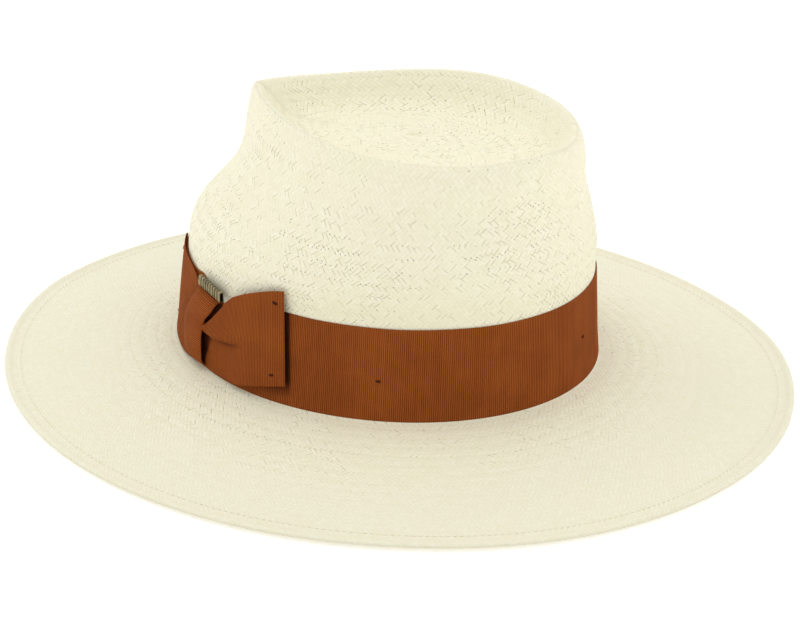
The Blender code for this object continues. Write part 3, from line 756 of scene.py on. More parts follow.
def hemRings(angle):  # round the folded edge, then back inside it, past the wire
    s, thick = strawShape, hatForm["strawThick"]
    folded = 0.9 * thick
    wireHeight = thick + s["wireRadius"] + gap
    channel = s["wireRadius"] + gap
    roll = wireHeight + channel + folded
    inset = s["hemWidth"] * s["hemStep"]
    under = foldHeight(inset) + folded
    over = under + gap + thick
    # distance from the edge, height
    outside = [
        (s["hemWidth"] - 0.0006, hemTop() + 0.00012), (s["hemWidth"] - 0.0022, over + 0.0004),
        (inset, over + 0.0002), (inset - 0.0010, over + 0.0004),
        (s["wireFromEdge"] + 0.0008, roll - 0.00003), (0.0016, roll),
        (0.0010, roll - 0.00016), (0.0005, roll - 0.00055), (0.00015, roll - 0.0011), (0.0, wireHeight),
        (0.0001, wireHeight * 0.55), (0.0004, wireHeight * 0.22), (0.0009, 0.00004), (0.0018, 0.0),
        (s["restFromEdge"], 0.0), (0.0060, s["hemRise"] * 0.47), (s["hemWidth"] - 0.0003, s["hemRise"]),
        (s["hemWidth"], s["hemRise"] + 0.0003), (s["hemWidth"], s["hemRise"] + folded)]
    inside = [(inset, under)]
    for turn in np.radians((-120, -60, 0, 60, 120)):
        inside.append((s["wireFromEdge"] - channel * math.cos(turn), wireHeight + channel * math.sin(turn)))
    inside += [(inset, under + gap), (s["hemWidth"], s["hemRise"] + folded + gap)]
    return np.stack([edgeRing(fromEdge, height, angle) for fromEdge, height in outside + inside])


def weavePlaces(rows, courseOnBody, angle):  # where the weave is: cells round the hat, courses along it
    s = strawShape
    reach = rowReach(rows)
    body = len(courseOnBody)
    beyond = courseOnBody[-1] + (reach[body:] - reach[body - 1]) / s["coursePitch"]
    course = np.concatenate([courseOnBody, beyond])
    around = np.linalg.norm(rows - np.roll(rows, 1, 1), axis=-1).sum(1)
    pairs = np.floor((course[:-1] + course[1:]) / 2).astype(int)  # strands are added between courses
    cells = np.zeros(len(rows) - 1)
    for pair in np.unique(pairs):
        picked = pairs == pair
        cells[picked] = max(4, round(around[:-1][picked].mean() / s["cellPitch"]))
    share = np.concatenate([np.interp(angle, turnTable, arcTable) / wholeTurn, [1.0]])
    return share, course, cells


def buildStraw():
    s, h = strawShape, hatForm
    thick, per, columns = h["strawThick"], s["rowsPerCourse"], s["columns"]
    angle = np.arange(columns) * math.tau / columns
    sections = s["crownSections"][::-1]
    for share in (0.5, 0.006):  # under the ribbon the wall is straight
        sections.append((share * h["ribbonWidth"] / h["crownHeight"], h["bandForward"] * share,
                         1 + share * (h["bandLength"] - 1), 1 + share * (h["bandWidth"] - 1), 0.0, 1.0))

    def crown(t):
        return np.stack([crownRing(row, angle) for row in smoothRow(sections, t)])

    def brim(t):
        levels = [brimRing(share, fall, angle) for share, fall in s["brimLevels"]]
        return smoothRow(levels + [edgeRing(s["hemWidth"], hemTop(), angle)], t)

    def proud(rows):  # the courses stand a little proud between their seams
        return s["courseRelief"] * np.abs(np.sin(math.pi * np.arange(len(rows)) / per)) ** 0.7

    crownRows, crownCourses = resampleRings(crown, sections, s["coursePitch"], per)
    brimRows, brimCourses = resampleRings(brim, s["brimLevels"] + [0], s["coursePitch"], per)

    normal = gridNormals(crownRows, False, True)
    normal *= np.sign((normal[-2] * (crownRows[-2] - crownRows[-2].mean(0))).sum())
    crownOut = crownRows + normal * proud(crownRows)[:, None, None]
    crownOut[-8:] = crownRows[-8:]  # smooth under the ribbon's foot
    innerRows = (crownRows - normal * thick)[-2:0:-2]

    lift = proud(brimRows)
    lift[[0, 1, -1]] = 0
    normal = gridNormals(brimRows, False, True)
    normal *= np.sign(normal[..., 2].sum())
    brimOut = brimRows + normal * lift[:, None, None]
    underRows = brimRows[len(brimRows) - 3:0:-2] - np.array([0, 0, thick])
    corner = 0.2 * thick  # the inner turn from brim to crown
    length, width = h["headHalfLength"] - corner, h["headHalfWidth"] - corner
    turn = np.stack([width * np.sin(angle), -(length * np.cos(angle) + h["brimSetBack"]),
                     h["headline"] - 0.6 * thick - h["lean"] * length * np.cos(angle)], -1)[None]

    rows = np.concatenate([crownOut, brimOut[1:], hemRings(angle), underRows, turn, innerRows])
    count, hemStart = len(rows), len(crownOut) + len(brimOut) - 1
    share, course, cells = weavePlaces(rows, np.arange(hemStart) / per, angle)
    faces, places = gridFaces(count, columns, False, True)
    i, j = places[..., 0], places[..., 1]
    # painted shade on the rolled edge, row by row
    shade = np.zeros(count)
    rollRow = hemStart + s["rollStart"]
    shade[rollRow:rollRow + len(s["rollShade"])] = s["rollShade"]
    corners = np.stack([share[j] * cells[i[:, :1]], course[i], shade[i]], -1)
    hubs = [rows[0].mean(0) + [0, 0, 0.00002], rows[-1].mean(0)]
    points = np.concatenate([rows.reshape(-1, 3), hubs])
    parts = [(faces, corners), (fanFaces(0, columns, count * columns, True), None),
             (fanFaces(count - 1, columns, count * columns + 1, False), None)]
    piece = joinedPiece("strawHat", points, parts, strawMaterial, "weaveMap")
    settle(piece, "straw_body")
    print("straw:", crownCourses, "courses on the crown,", brimCourses, "on the brim,", len(faces), "faces")
    return piece


straw = buildStraw()


# The bow: one loop of the same ribbon, lying on it

bowShape = {
    "centre": 0.0795, "rear": 0.1392, "front": 0.0270, "thick": 0.0004, "rib": 0.00007, "pitch": 0.00097,
    "rearFold": 0.00034, "rearStand": 0.0024,
    "endRound": 0.0010, "slant": 0.0032,  # the rear end is this much further back at its foot
    # distance from the front, lowest and highest line of the outer side
    "outline": [(0.0270, 0.0012, 0.0454), (0.0310, 0.0010, 0.0456), (0.0450, 0.0008, 0.0457),
                (0.0600, 0.0008, 0.0455), (0.0700, 0.0010, 0.0436), (0.0795, 0.0014, 0.0382),
                (0.0850, 0.0016, 0.0366), (0.0940, 0.0016, 0.0362), (0.0985, 0.0019, 0.0378),
                (0.1030, 0.0024, 0.0420), (0.1075, 0.0027, 0.0460), (0.1135, 0.0036, 0.0493),
                (0.1215, 0.0058, 0.0525), (0.1280, 0.0078, 0.0548), (0.1340, 0.0096, 0.0566),
                (0.1392, 0.0106, 0.0575)],
    # the fold by the knot: distance and height of its lower side, and of where the cloth falls back above it
    "creaseLine": [(0.080, 0.0228), (0.0895, 0.0204), (0.0945, 0.0202), (0.100, 0.0209), (0.1065, 0.0220),
                   (0.1125, 0.0236), (0.118, 0.0255)],
    "hollowLine": [(0.082, 0.0222), (0.085, 0.0230), (0.088, 0.0252), (0.092, 0.0290), (0.096, 0.0335),
                   (0.1005, 0.0385), (0.104, 0.0460), (0.110, 0.0700)],
}


# Ribbon round the crown

ribbonShape = {
    "low": 0.0001, "thick": 0.0006, "pitch": 0.00097, "perRib": 4, "rib": 0.00011, "edge": 0.0009,
    "drawnDown": 0.0080, "frontShare": 0.16,
    "heights": (0.0, 0.0004, 0.0011, 0.0030, 0.0120, 0.0231, 0.0340, 0.0432, 0.0450, 0.0456, 0.0458),
}


def buildRibbon():
    r = ribbonShape
    ribs = round(wholeTurn / r["pitch"])
    pitch = wholeTurn / ribs
    count = ribs * r["perRib"]
    heights = np.array(r["heights"]) + r["low"]
    d, z = np.meshgrid(np.arange(count) * wholeTurn / count, heights, indexing="ij")
    fade = ease(0.0, r["edge"], z - r["low"]) * ease(0.0, r["edge"], heights[-1] - z)
    relief = r["rib"] * cords(d, pitch) * fade
    uneven = 0.00010 * np.sin(d * 61 + 1.0) + 0.00007 * np.sin(d * 143 + 2.0)  # the edge isn't ruler straight
    drawn = ease(0.073, 0.097, d) * (1 - ease(0.102, 0.114, d))  # the knot draws the top edge down
    # and it lies lower behind the front lobe
    drawn += r["frontShare"] * ease(0.008, 0.020, d) * (1 - ease(0.068, 0.078, d))
    level = z + uneven * ease(0.030, 0.046, z) * 0.8 - r["drawnDown"] * drawn * ease(0.012, 0.046, z)
    bowEnd = bowShape["rear"] + bowShape["slant"] * (0.5 - (z - 0.0106) / 0.0469)
    # painted shade on the ribbon in the gap under the bow's rear end
    deep = (1 - ease(bowEnd + 0.0004, bowEnd + 0.0020, d)) * ease(0.120, 0.130, d) * ease(0.009, 0.011, z)
    out = gap + r["thick"] / 2 + 0.00002 + 0.00008 * np.sin(d * 37) * ease(0.02, 0.046, z)
    place = np.stack([d / pitch * ribbonFinish["pitch"], z * 1000, deep], -1)
    grid = bandPoint(d, out, level)
    piece = sheetPiece("hatRibbon", grid, r["thick"] - 2 * r["rib"], bandCloth, place, True, relief)
    settle(piece, "hat_ribbon")
    print("ribbon:", ribs, "cords")


buildRibbon()


def bowOutline(distance):
    row = alongTable(bowShape["outline"], distance)
    return row[..., 1], row[..., 2]


def bowFold(distance):
    return [np.interp(distance, *np.array(bowShape[line]).T) for line in ("creaseLine", "hollowLine")]


def bowPress(distance):  # the whole bow is drawn a little into the ribbon, most in front of the knot
    return 0.00035 + 0.00020 * ease(0.0, 0.020, bowShape["centre"] - distance)


def bowOuterLift(distance, height, share):
    # how far the outer side stands off the back layer, with its folds by the knot
    b = bowShape
    crease, hollow = bowFold(distance)
    depth = 1 - ease(0.104, 0.121, distance)
    above = ease(-0.0005, 0.0008, height - crease) * (1 - ease(-0.0003, 0.0012, height - hollow))
    roll = 0.0006 * hump(height - crease, 0.0022, 0.0030)
    upper = 0.0033 + roll - 0.0004 * ease(0.0, 0.016, height - crease)
    lower = 0.00045 + 0.0022 * ease(0.094, 0.123, distance)
    fold = lower + (upper - lower) * above
    lobe = 0.0027 + 0.0004 * np.sin(math.pi * share)
    rearLift = fold * depth + lobe * (1 - depth)
    under = 1 - ease(0.0800, 0.0870, distance)  # flat where the knot holds it
    rearLift = rearLift * (1 - under) + 0.0008 * under
    near = ease(0.0, 0.016, b["centre"] - distance)
    frontLift = 0.0008 + near * (0.0019 * (1 - share) ** 0.8 - 0.00038 + 0.0002 * np.sin(math.pi * share))
    gathers = 0.00020 * np.sin(share * 26 + distance * 120) * hump(distance, b["centre"], 0.020)
    return np.where(distance >= b["centre"], rearLift, frontLift) + gathers


def bowEndLift(distance, share, lift):
    # towards each end the outer side comes down to the height of its rounded fold
    b = bowShape
    rear = ease(b["rear"] - 0.007, b["rear"] - 0.0007, distance)
    front = ease(b["front"] + 0.007, b["front"] + 0.0008, distance)
    return lift * (1 - rear) * (1 - front) + b["rearStand"] * rear + 2 * frontFold(share) * front


def frontFold(share):
    return 0.00028 + 0.0007 * (1 - share)


# painted shade on the bow's outer side, in its hollows and under its fold
def bowPaintedShade(distance, height):  # 1 in the hollows beside the knot and under the fold
    crease, hollow = bowFold(distance)
    beside = ease(0.0003, 0.0014, height - hollow) * (1 - ease(0.1000, 0.1050, distance))
    beside *= ease(0.082, 0.084, distance)
    reach = 0.0002 + 0.0075 * np.clip((height - 0.004) / 0.015, 0, 1)
    low = (1 - ease(0.3, 1.0, (distance - 0.0850) / reach)) * ease(0.080, 0.082, distance)
    under = 0.75 * (1 - ease(0.0, 0.0030, crease - height)) * (1 - ease(0.100, 0.117, distance))
    under *= ease(0.083, 0.085, distance)
    return np.maximum(beside, np.maximum(low, under) * (height < crease))


def buildBow():
    b, width = bowShape, hatForm["ribbonWidth"]
    layer = gap + ribbonShape["thick"] + gap + b["thick"] + gap + b["thick"] / 2
    share = np.concatenate([[0, 0.006, 0.014], np.linspace(0, 1, 46)[1:-1], [0.986, 0.994, 1]])

    distances = np.arange(b["front"] + 0.0008, b["rear"] - 0.0007, b["pitch"] / 4)
    d, w = np.meshgrid(distances, share, indexing="ij")
    low, high = bowOutline(d)
    z = low + (high - low) * w
    outer = np.stack([d, layer + bowEndLift(d, w, bowOuterLift(d, z, w)), z], -1)

    stand = b["rearStand"] - 2 * b["rearFold"]  # the rear end stands off, with its fold at the outer side
    distances = np.linspace(b["rear"] - b["endRound"], b["front"] + b["endRound"], 60)
    d, w = np.meshgrid(distances, share, indexing="ij")
    low, high = bowOutline(d)
    rise = stand * ease(b["rear"] - 0.0090, b["rear"] - 0.0012, d)
    back = np.stack([d, layer + rise, low + (high - low) * (0.02 + 0.96 * w)], -1)

    def ending(place, side, fold, stand):  # half a turn between the layers; side is 1 at the rear, -1 in front
        low, high = bowOutline(np.full(share.shape, place))
        turn = -side * np.radians(np.linspace(-90, 90, 9)[1:-1])[:, None] + 0 * share
        distance = place + side * b["endRound"] * (np.cos(turn) - 1)
        height = np.broadcast_to(low + (high - low) * share, turn.shape)
        return np.stack([distance, layer + stand + fold + fold * np.sin(turn), height], -1)

    path = np.concatenate([outer, ending(b["rear"], 1, b["rearFold"], stand), back,
                           ending(b["front"], -1, frontFold(share), 0.0)])
    path[..., 0] += b["slant"] * (0.5 - share) * ease(0.108, b["rear"], path[..., 0])
    path[..., 1] -= bowPress(path[..., 0])
    grid = bandPoint(path[..., 0], path[..., 1], path[..., 2])
    along = rowReach(grid)[:, None] + 0 * share
    # painted shade on the outer side only
    deep = bowPaintedShade(path[..., 0], path[..., 2]) * (np.arange(len(path)) < len(outer))[:, None]
    place = np.stack([along * 1000, share * width * 1000 + 0 * along, deep], -1)
    relief = b["rib"] * cords(along, b["pitch"]) * ease(0.0, 0.02, share) * ease(0.0, 0.02, 1 - share)
    piece = sheetPiece("bowLoop", grid, b["thick"] - 2 * b["rib"], bandCloth, place, True, relief)
    settle(piece, "bow_ribbon")


buildBow()


# The knot: a short ribbon folded narrow and wrapped once round the middle of the bow

knotShape = {
    "low": 0.0026, "high": 0.0398, "outer": 0.0060, "width": 0.0200,
    "thick": 0.0004, "rib": 0.00007, "pitch": 0.00097,
    # height, middle and half width of the wrapped side
    "run": [(0.000, 0.0785, 0.0085), (0.008, 0.0768, 0.0095), (0.016, 0.0758, 0.0098),
            (0.022, 0.0765, 0.0098), (0.028, 0.0792, 0.0088), (0.034, 0.0838, 0.0086),
            (0.040, 0.0874, 0.0082), (0.046, 0.0888, 0.0082)],
}


def buildKnot():
    k = knotShape
    low, high, outer = k["low"], k["high"], k["outer"]
    inner = gap + ribbonShape["thick"] + 0.00006
    flat = inner + k["thick"] / 2
    keys = [(flat, low + 0.0015), (flat, (low + high) / 2), (flat, high - 0.0015),
            (flat + 0.0004, high - 0.0004), (inner + 0.0016, high), (inner + 0.0030, high - 0.0004),
            (outer - 0.0003, high - 0.0030),
            (outer + 0.0003, high * 0.70), (outer + 0.0004, high * 0.50), (outer + 0.0003, high * 0.30),
            (outer - 0.0002, low + 0.0030), (inner + 0.0030, low + 0.0004), (inner + 0.0016, low),
            (flat + 0.0004, low + 0.0004), (flat, low + 0.0015)]
    fine = smoothRow(keys, np.linspace(0, len(keys) - 1, 600))
    reach = rowReach(fine[:, None])
    turns = round(reach[-1] / k["pitch"])
    along = np.arange(4 * turns) * reach[-1] / (4 * turns)
    a, s = np.meshgrid(along, np.linspace(-1, 1, 23), indexing="ij")
    out, z = np.interp(a, reach, fine[:, 0]), np.interp(a, reach, fine[:, 1])
    front = ease(inner + 0.0014, inner + 0.0030, out)
    run = alongTable(k["run"], z)
    middle, half = run[..., 1], run[..., 2]
    roundOff = 0.0011 * np.abs(s) ** 2.6 * front
    slant = -0.16 * s * half * ease(0.020, 0.036, z)
    grid = bandPoint(middle + s * half * (0.94 + 0.06 * front), out - roundOff, z + slant)
    place = np.stack([a * 1000, (s + 1) * k["width"] * 500], -1)
    relief = k["rib"] * cords(a, reach[-1] / turns) * ease(0, 0.08, 1 - np.abs(s))
    piece = sheetPiece("bowKnot", grid, k["thick"] - 2 * k["rib"], bandCloth, place, True, relief)
    settle(piece, "bow_knot")


buildKnot()
print("bow and knot made")


# Metal badge: a flattened tube with plain grooves, along the top of the ribbon

badgeShape = {
    "length": 0.0205, "height": 0.0056, "depth": 0.0025, "wall": 0.0005, "sides": 64, "squareness": 0.6,
    "centre": 0.0892, "level": 0.0434, "out": 0.0034,
    "groove": 0.00034, "grooveTurns": 4.65, "rounding": 0.00018,
}


def buildBadge():
    b = badgeShape
    out, level, centre = b["out"], b["level"], b["centre"]
    middle = bandPoint(centre, out, level)
    ahead = bandPoint(centre + 0.005, out + 0.0002, level - 0.0003)
    ahead = ahead - bandPoint(centre - 0.005, out - 0.0002, level + 0.0003)
    ahead /= np.linalg.norm(ahead)
    up = np.array([0, 0, 1.0])
    up -= ahead * (up @ ahead)
    up /= np.linalg.norm(up)
    outward = np.cross(ahead, up)
    turn = (np.arange(b["sides"]) + 0.5) * math.tau / b["sides"]
    c, s = np.cos(turn), np.sin(turn)

    def ring(share, wall, dent=0.0):
        across = np.sign(c) * np.abs(c) ** b["squareness"] * (b["depth"] / 2 - wall - dent * (c > 0))
        rise = np.sign(s) * np.abs(s) ** b["squareness"] * (b["height"] / 2 - wall)
        return middle + ahead * share * b["length"] / 2 + across[:, None] * outward + rise[:, None] * up

    sections, high = [], []
    for share in np.linspace(-1, 1, 161):  # the grooved outside, with a plain rim at each end
        groove = 0.0
        if abs(share) < 0.86:
            groove = (0.5 - 0.5 * math.cos(share * b["grooveTurns"] * math.tau)) ** 1.5
        dents = np.where(np.abs(s) < 0.66, groove * b["groove"], 0.0)
        sections.append(ring(share, float(b["rounding"] * ease(0.985, 1.0, abs(share))), dents))
        high.append(1.0 - groove)
    for share in np.linspace(1, -1, 9):  # and back through the bore
        sections.append(ring(share, b["wall"]))
        high.append(0.0)
    faces, places = gridFaces(len(sections), b["sides"], True, True)
    high = np.array(high + high[:1])
    corners = np.stack([places[..., 0] * 0.01, high[places[..., 0]]], -1)
    settle(makePiece("metalBadge", np.concatenate(sections), faces, brass, corners), "metal_badge")


buildBadge()


# Stitches

stitchShape = {"pitch": 0.0032, "length": 0.0020, "radius": 0.00010, "fromEdge": 0.0078}
stitchRise = np.array([-0.00016, -0.00002, 0.00004, 0.00004, -0.00002, -0.00016])  # the ends dip in


def buildHemStitches():
    s, h = stitchShape, hatForm
    length, width = h["brimHalfLength"], h["brimHalfWidth"]
    rim = math.pi * (3 * (length + width) - math.sqrt((3 * length + width) * (length + 3 * width)))
    count = round(rim / s["pitch"])
    span = math.pi / count * s["length"] / s["pitch"]
    hemWidth = strawShape["hemWidth"]
    inset = hemWidth * strawShape["hemStep"]
    share = (s["fromEdge"] - inset) / (hemWidth - inset)
    base = foldHeight(inset) + share * (foldHeight(hemWidth) - foldHeight(inset))
    for name, node, level, sign in (("hemTopStitches", "hem_needle_thread", hemTop() + 0.00012, 1),
                                    ("hemLowStitches", "hem_bobbin_thread", base - 0.00010, -1)):
        paths = []
        for k in range(count):
            ring = edgeRing(s["fromEdge"], level, math.tau * k / count + np.linspace(-span, span, 6))
            ring[:, 2] += stitchRise * sign
            paths.append(ring)
        settle(addThreads(name, paths, s["radius"], paleThread), node)
    print("hem:", count, "stitches")


buildHemStitches()

tackShape = {
    # name, degrees from the front, share of the ribbon's width
    "places": [("left", 111, 0.43), ("back", 180, 0.5), ("right", 260, 0.5), ("front", 340, 0.5)],
    "halfLength": 0.0012, "spacing": 0.00034, "spread": 0.0002, "radius": 0.00018,
    "arch": 0.00012, "out": 0.00022,
    "bowInset": 0.0055, "bowHalfLength": 0.0013, "bowSpacing": 0.00036, "bowSlope": 0.00025,
    "bowRadius": 0.00024, "bowArch": 0.00016,
}


def buildTacks():
    t = tackShape
    share = np.linspace(-1, 1, 7)
    arch = np.cos(share * math.pi / 2)
    strands = (-1, 0, 1)
    onRibbon = gap + ribbonShape["thick"] + t["out"]
    for name, degrees, height in t["places"]:
        turn = math.radians(degrees) + share * t["halfLength"] / headRadius
        level = hatForm["ribbonWidth"] * height
        out = onRibbon + t["arch"] * (arch - 1)
        paths = [wallPoint(turn, out, level + k * t["spacing"] + k * t["spread"] * share) for k in strands]
        piece = addThreads("ribbonTack_" + name, paths, t["radius"], brownThread)
        settle(piece, "ribbon_tack_" + name)
    base = gap + ribbonShape["thick"] + gap + bowShape["thick"] + gap + bowShape["thick"]
    rear, front = bowShape["rear"] - t["bowInset"], bowShape["front"] + t["bowInset"]
    for end, place in (("rear", rear), ("front", front)):
        low, high = map(float, bowOutline(np.array(place)))
        for level, middle, slope in (("top", high - t["bowInset"], -1), ("low", low + t["bowInset"], 1)):
            paths = []
            for k in strands:
                d = place + share * t["bowHalfLength"]
                z = middle + k * t["bowSpacing"] + t["bowSlope"] * share * slope
                across = (z - low) / (high - low)
                lift = bowEndLift(d, across, bowOuterLift(d, z, across)) - bowPress(d)
                paths.append(bandPoint(d, base + lift + t["bowArch"] * arch, z))
            piece = addThreads("bowTack_" + end + "_" + level, paths, t["bowRadius"], brownThread)
            settle(piece, "bow_tack_" + end + "_" + level)


buildTacks()


# Inside the crown: sweatband, its reed and tape, the back seam with its small bow, and a blank label

insideShape = {
    "bandHeight": 0.0340, "bandThick": 0.0012, "reedRadius": 0.0008, "tapeThick": 0.00035, "tapeTop": 0.0048,
    "seamGap": 0.003, "seamLow": 0.0060, "seamHalfWidth": 0.0075, "clothThick": 0.0004, "columns": 300,
    "stitches": 230, "stitchShare": 0.36, "stitchRadius": 0.0002, "stitchLevel": 0.0030,
    "labelLength": 0.0160, "labelHeight": 0.0110, "labelLow": 0.0100, "labelThick": 0.0003, "labelTurn": 0.80,
    "bowLength": 0.0280, "bowLevel": 0.68, "bowThick": 0.00026, "knotHalfWidth": 0.0019, "knotHigh": 0.0038,
    "bandHeights": (0.0, 0.0008, 0.0050, 0.0120, 0.0200, 0.0280, 0.0325, 0.0336, 0.0340),
}


def onInside(middle, distance, out, height):  # a place by its distance from a direction
    return wallPoint(middle + distance / hatForm["headHalfWidth"], out, height)


def buildSweatband(out, start, end):
    s = insideShape
    turn, z = np.meshgrid(np.linspace(start, end, s["columns"]), s["bandHeights"], indexing="ij")
    uneven = (0.00012 * np.sin(turn * 9) + 0.00008 * np.sin(turn * 23 + 1)) * ease(0.01, 0.034, z)
    place = np.stack([(turn - start) * headRadius * 1000, z * 1000], -1)
    grid = wallPoint(turn, out + uneven, z)
    band = sheetPiece("sweatbandLeather", grid, s["bandThick"] - 0.0001, leather, place, roundEdge=0.7)
    settle(band, "sweatband")


def buildReedTape(outer, inner, start, end):  # folded round the reed, one leg on each side of the leather
    s = insideShape
    foot = -2 * s["reedRadius"] - 2 * gap
    half, side = s["tapeThick"] / 2, 0.0005
    keys = [(outer - half, s["tapeTop"]), (outer - half, 0.0020), (outer - half, foot + side),
            (outer - side, foot - half + 0.00005), ((outer + inner) / 2, foot - half),
            (inner + side, foot - half + 0.00005), (inner + half, foot + side), (inner + half, 0.0020),
            (inner + half, s["tapeTop"])]
    curve = smoothRow(keys, np.linspace(0, len(keys) - 1, 33))
    turn, k = np.meshgrid(np.linspace(start, end, s["columns"]), np.arange(33), indexing="ij")
    reach = rowReach(curve[:, None])
    place = np.stack([(turn - start) * headRadius * 1000, reach[k] * 1000], -1)
    grid = wallPoint(turn, curve[k, 0], curve[k, 1])
    tape = sheetPiece("reedTape", grid, s["tapeThick"] * 0.8, cottonTape, place)
    settle(tape, "reed_tape")


def buildBandStitches(out, start, end):
    s = insideShape
    span = (end - start) / s["stitches"]
    lift = np.array([-0.00016, 0.0, 0.00004, 0.00004, 0.0, -0.00016])
    paths = []
    for n in range(s["stitches"]):
        turn = start + span * (n + 0.5) + np.linspace(-s["stitchShare"], s["stitchShare"], 6) * span
        paths.append(wallPoint(turn, out - s["stitchRadius"] - lift, s["stitchLevel"]))
    piece = addThreads("sweatbandStitches", paths, s["stitchRadius"], paleThread)
    settle(piece, "sweatband_thread")


def buildInside():
    s = insideShape
    tapeOut = -hatForm["strawThick"] - gap
    leatherOut = tapeOut - s["tapeThick"] - gap
    leatherIn = leatherOut - s["bandThick"]
    tapeIn = leatherIn - gap - s["tapeThick"]
    seamOut = leatherIn - gap
    start, end = math.pi + s["seamGap"], 3 * math.pi - s["seamGap"]
    buildSweatband((leatherOut + leatherIn) / 2, start, end)
    buildReedTape(tapeOut, tapeIn, start, end)
    buildBandStitches(tapeIn, start, end)

    across = np.linspace(-s["seamHalfWidth"], s["seamHalfWidth"], 25)
    x, z = np.meshgrid(across, np.linspace(s["seamLow"], s["bandHeight"] - 0.0010, 24), indexing="ij")
    grid = onInside(math.pi, x, seamOut - s["clothThick"] / 2, z)
    seam = sheetPiece("backSeamTape", grid, s["clothThick"], cottonTape, np.stack([z * 1000, x * 1000], -1))
    settle(seam, "back_seam_tape")

    half, low = s["labelLength"] / 2, s["labelLow"]
    tall = np.linspace(low, low + s["labelHeight"], 19)
    x, z = np.meshgrid(np.linspace(-half, half, 27), tall, indexing="ij")
    grid = onInside(math.pi * s["labelTurn"], x, seamOut - s["labelThick"] / 2, z)
    label = sheetPiece("blankLabel", grid, s["labelThick"], labelCloth, np.stack([x * 1000, z * 1000], -1))
    settle(label, "size_label")

    buildInnerBow(seamOut - s["clothThick"] - gap)


def buildInnerBow(startOut):
    s = insideShape
    level = s["bandHeight"] * s["bowLevel"]
    half = s["bowLength"] / 2
    behind = startOut - gap - 0.0003 - gap
    # share of the half length, distance off the seam tape
    lifts = [(-0.90, 0.0), (-0.43, 0.0), (0.0, 0.0), (0.43, 0.0), (0.90, 0.0), (0.985, 0.0006), (1.0, 0.0012),
             (0.915, 0.0020), (0.5, 0.0022), (0.0, 0.0010), (-0.5, 0.0022), (-0.915, 0.0020), (-1.0, 0.0012),
             (-0.985, 0.0006), (-0.90, 0.0)]
    curve = smoothRow(lifts, np.linspace(0, len(lifts) - 1, 141))[:-1]
    x, w = np.meshgrid(curve[:, 0] * half, np.linspace(-1, 1, 13), indexing="ij")
    spread = 0.0020 + 0.0025 * np.minimum(1.0, np.abs(x) / 0.010)
    ripple = 0.00015 * np.sin(w * 9) * hump(x, 0, 0.005)
    grid = onInside(math.pi, x, behind - curve[:, 1:] - ripple, level + w * spread)
    place = np.stack([rowReach(grid)[:, None] * 1000 + 0 * x, w * 4.5], -1)
    small = sheetPiece("innerBow", grid, s["bowThick"], bandCloth, place, True)
    settle(small, "inner_bow")

    near, far, high = startOut - 0.00015, behind - 0.0023, s["knotHigh"]
    # how far out, height
    keys = [(near, -high * 0.8), (near, 0), (near, high * 0.8), (near - 0.0004, high), (far + 0.0004, high),
            (far, high * 0.7), (far, 0), (far, -high * 0.7), (far + 0.0004, -high), (near - 0.0004, -high),
            (near, -high * 0.8)]
    curve = smoothRow(keys, np.linspace(0, len(keys) - 1, 81))[:-1]
    centre = np.array([(near + far) / 2, 0])
    drawn = centre + (curve - centre) * np.array([0.93, 0.96])
    x, _ = np.meshgrid(np.linspace(-s["knotHalfWidth"], s["knotHalfWidth"], 9), drawn[:, 0])
    grid = onInside(math.pi, x, drawn[:, :1], level + drawn[:, 1:])
    place = np.stack([rowReach(grid)[:, None] * 1000 + 0 * x, x * 1000], -1)
    tie = sheetPiece("innerBowKnot", grid, s["bowThick"], bandCloth, place, True)
    settle(tie, "inner_bow_knot")


buildInside()


# The wire inside the folded edge

wireShape = {"radius": 0.00036, "sides": 10, "steps": 360}


def buildWire():
    w, fromEdge = wireShape, strawShape["wireFromEdge"]
    angle = np.arange(w["steps"]) * math.tau / w["steps"]
    height = hatForm["strawThick"] + strawShape["wireRadius"] + gap
    rings = []
    for k in np.arange(w["sides"]) * math.tau / w["sides"]:
        ring = edgeRing(fromEdge - w["radius"] * math.cos(k), height, angle)
        rings.append(ring + [0, 0, w["radius"] * math.sin(k)])
    faces, places = gridFaces(w["steps"], w["sides"], True, True)
    points = np.stack(rings, 1).reshape(-1, 3)
    settle(makePiece("brimWire", points, faces, makeSteel(), places * 0.001), "brim_wire")


buildWire()


# CAD nodes that stay, with better finishes

for name, material in (("sweatband_reed", makeReed()), ("badge_thread", brownThread)):
    mesh = nodes[name].data
    mesh.materials.clear()
    mesh.materials.append(material)
    mesh.polygons.foreach_set("use_smooth", np.full(len(mesh.polygons), True))
print("inside pieces made")


# Floor, light and camera

studio = {
    "floorSize": 14.0, "floorColor": (0.93, 0.93, 0.93), "floorGlow": 0.36,
    "sky": 0.74, "skyTop": 0.50, "skyFront": 0.38, "cameraSide": (0.877, 0.481),
    "keyPower": 5.0, "keySize": 1.6, "keyPlace": (0.5, -1.7, 1.6),
    "fillPower": 6.0, "fillSize": 1.8, "fillPlace": (0.5, 1.9, 1.7),
    "cameraPlace": (1.3723, 0.7521, 0.8080), "aim": (0.0, -0.0034, 0.018), "up": (0.0, -0.012, 1.0),
    "roll": 0.01537, "lens": 163.13, "shift": (0.0134, 0.0199),
}


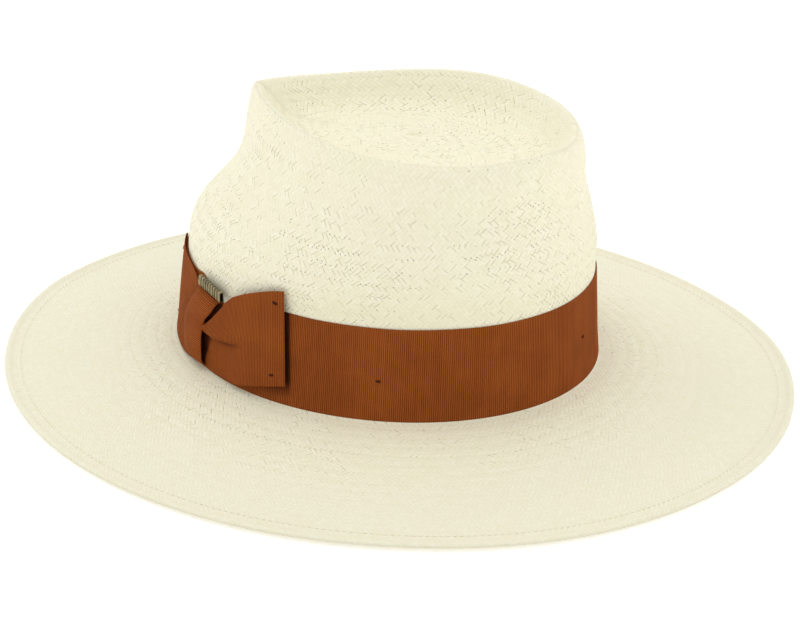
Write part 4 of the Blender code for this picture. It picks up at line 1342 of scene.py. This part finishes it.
def buildStudio():
    s = studio
    mesh = bpy.data.meshes.new("floor")
    half = s["floorSize"] / 2
    points = [(-half, -half, 0), (half, -half, 0), (half, half, 0), (-half, half, 0)]
    mesh.from_pydata(points, [], [(0, 1, 2, 3)])
    material, tree, shader = newMaterial("paleFloor", s["floorColor"], 0.9)
    shader.inputs["Emission Color"].default_value = (1, 1, 1, 1)
    shader.inputs["Emission Strength"].default_value = s["floorGlow"]
    spots = placeGroup(tree, mottle, Body=objectPlace(tree), Size=2.0)
    tree.links.new(blendColor(tree, times(tree, spots["Broad"], 0.1), s["floorColor"], (0.91, 0.91, 0.90)),
                   shader.inputs["Base Color"])
    mesh.materials.append(material)
    floor = bpy.data.objects.new("floor", mesh)
    bpy.context.scene.collection.objects.link(floor)
    floor.location.z = -0.0003

    world = bpy.data.worlds.new("studio")
    world.use_nodes = True
    sky = world.node_tree  # brightest overhead, a little darker from the camera's own side
    x, y, z = apart(sky, sky.nodes.new("ShaderNodeTexCoord").outputs["Generated"])
    towards = plus(sky, times(sky, x, s["cameraSide"][0]), times(sky, y, s["cameraSide"][1]))
    level = timesPlus(sky, calc(sky, "MAXIMUM", z, 0.0), s["skyTop"], s["sky"])
    level = minus(sky, level, times(sky, calc(sky, "MAXIMUM", towards, 0.0), s["skyFront"]))
    sky.links.new(level, sky.nodes["Background"].inputs["Strength"])
    sky.nodes["Background"].inputs["Color"].default_value = (1.0, 1.0, 1.0, 1)
    bpy.context.scene.world = world

    for name in ("key", "fill"):
        light = bpy.data.lights.new(name + "Light", "AREA")
        light.energy = s[name + "Power"]
        light.size = s[name + "Size"]
        lamp = bpy.data.objects.new(name + "Light", light)
        lamp.location = s[name + "Place"]
        lamp.rotation_mode = "QUATERNION"
        lamp.rotation_quaternion = (Vector((0, 0, 0.06)) - lamp.location).to_track_quat("-Z", "Y")
        bpy.context.scene.collection.objects.link(lamp)

    camera = bpy.data.objects.new("camera", bpy.data.cameras.new("camera"))
    place, aim, up = Vector(s["cameraPlace"]), Vector(s["aim"]), Vector(s["up"])
    ahead = (aim - place).normalized()
    right = ahead.cross(up).normalized()
    above = right.cross(ahead)
    c, n = math.cos(s["roll"]), math.sin(s["roll"])
    right, above = right * c - above * n, above * c + right * n
    camera.matrix_world = Matrix(((right.x, above.x, -ahead.x, place.x),
                                  (right.y, above.y, -ahead.y, place.y),
                                  (right.z, above.z, -ahead.z, place.z), (0, 0, 0, 1)))
    camera.data.lens = s["lens"]
    camera.data.sensor_width = 36
    camera.data.shift_x, camera.data.shift_y = s["shift"]
    camera.data.clip_start, camera.data.clip_end = 0.05, 40
    bpy.context.scene.collection.objects.link(camera)
    bpy.context.scene.camera = camera
    bpy.context.scene.view_settings.view_transform = "Standard"
    bpy.context.scene.view_settings.look = "None"


buildStudio()
print("studio made")
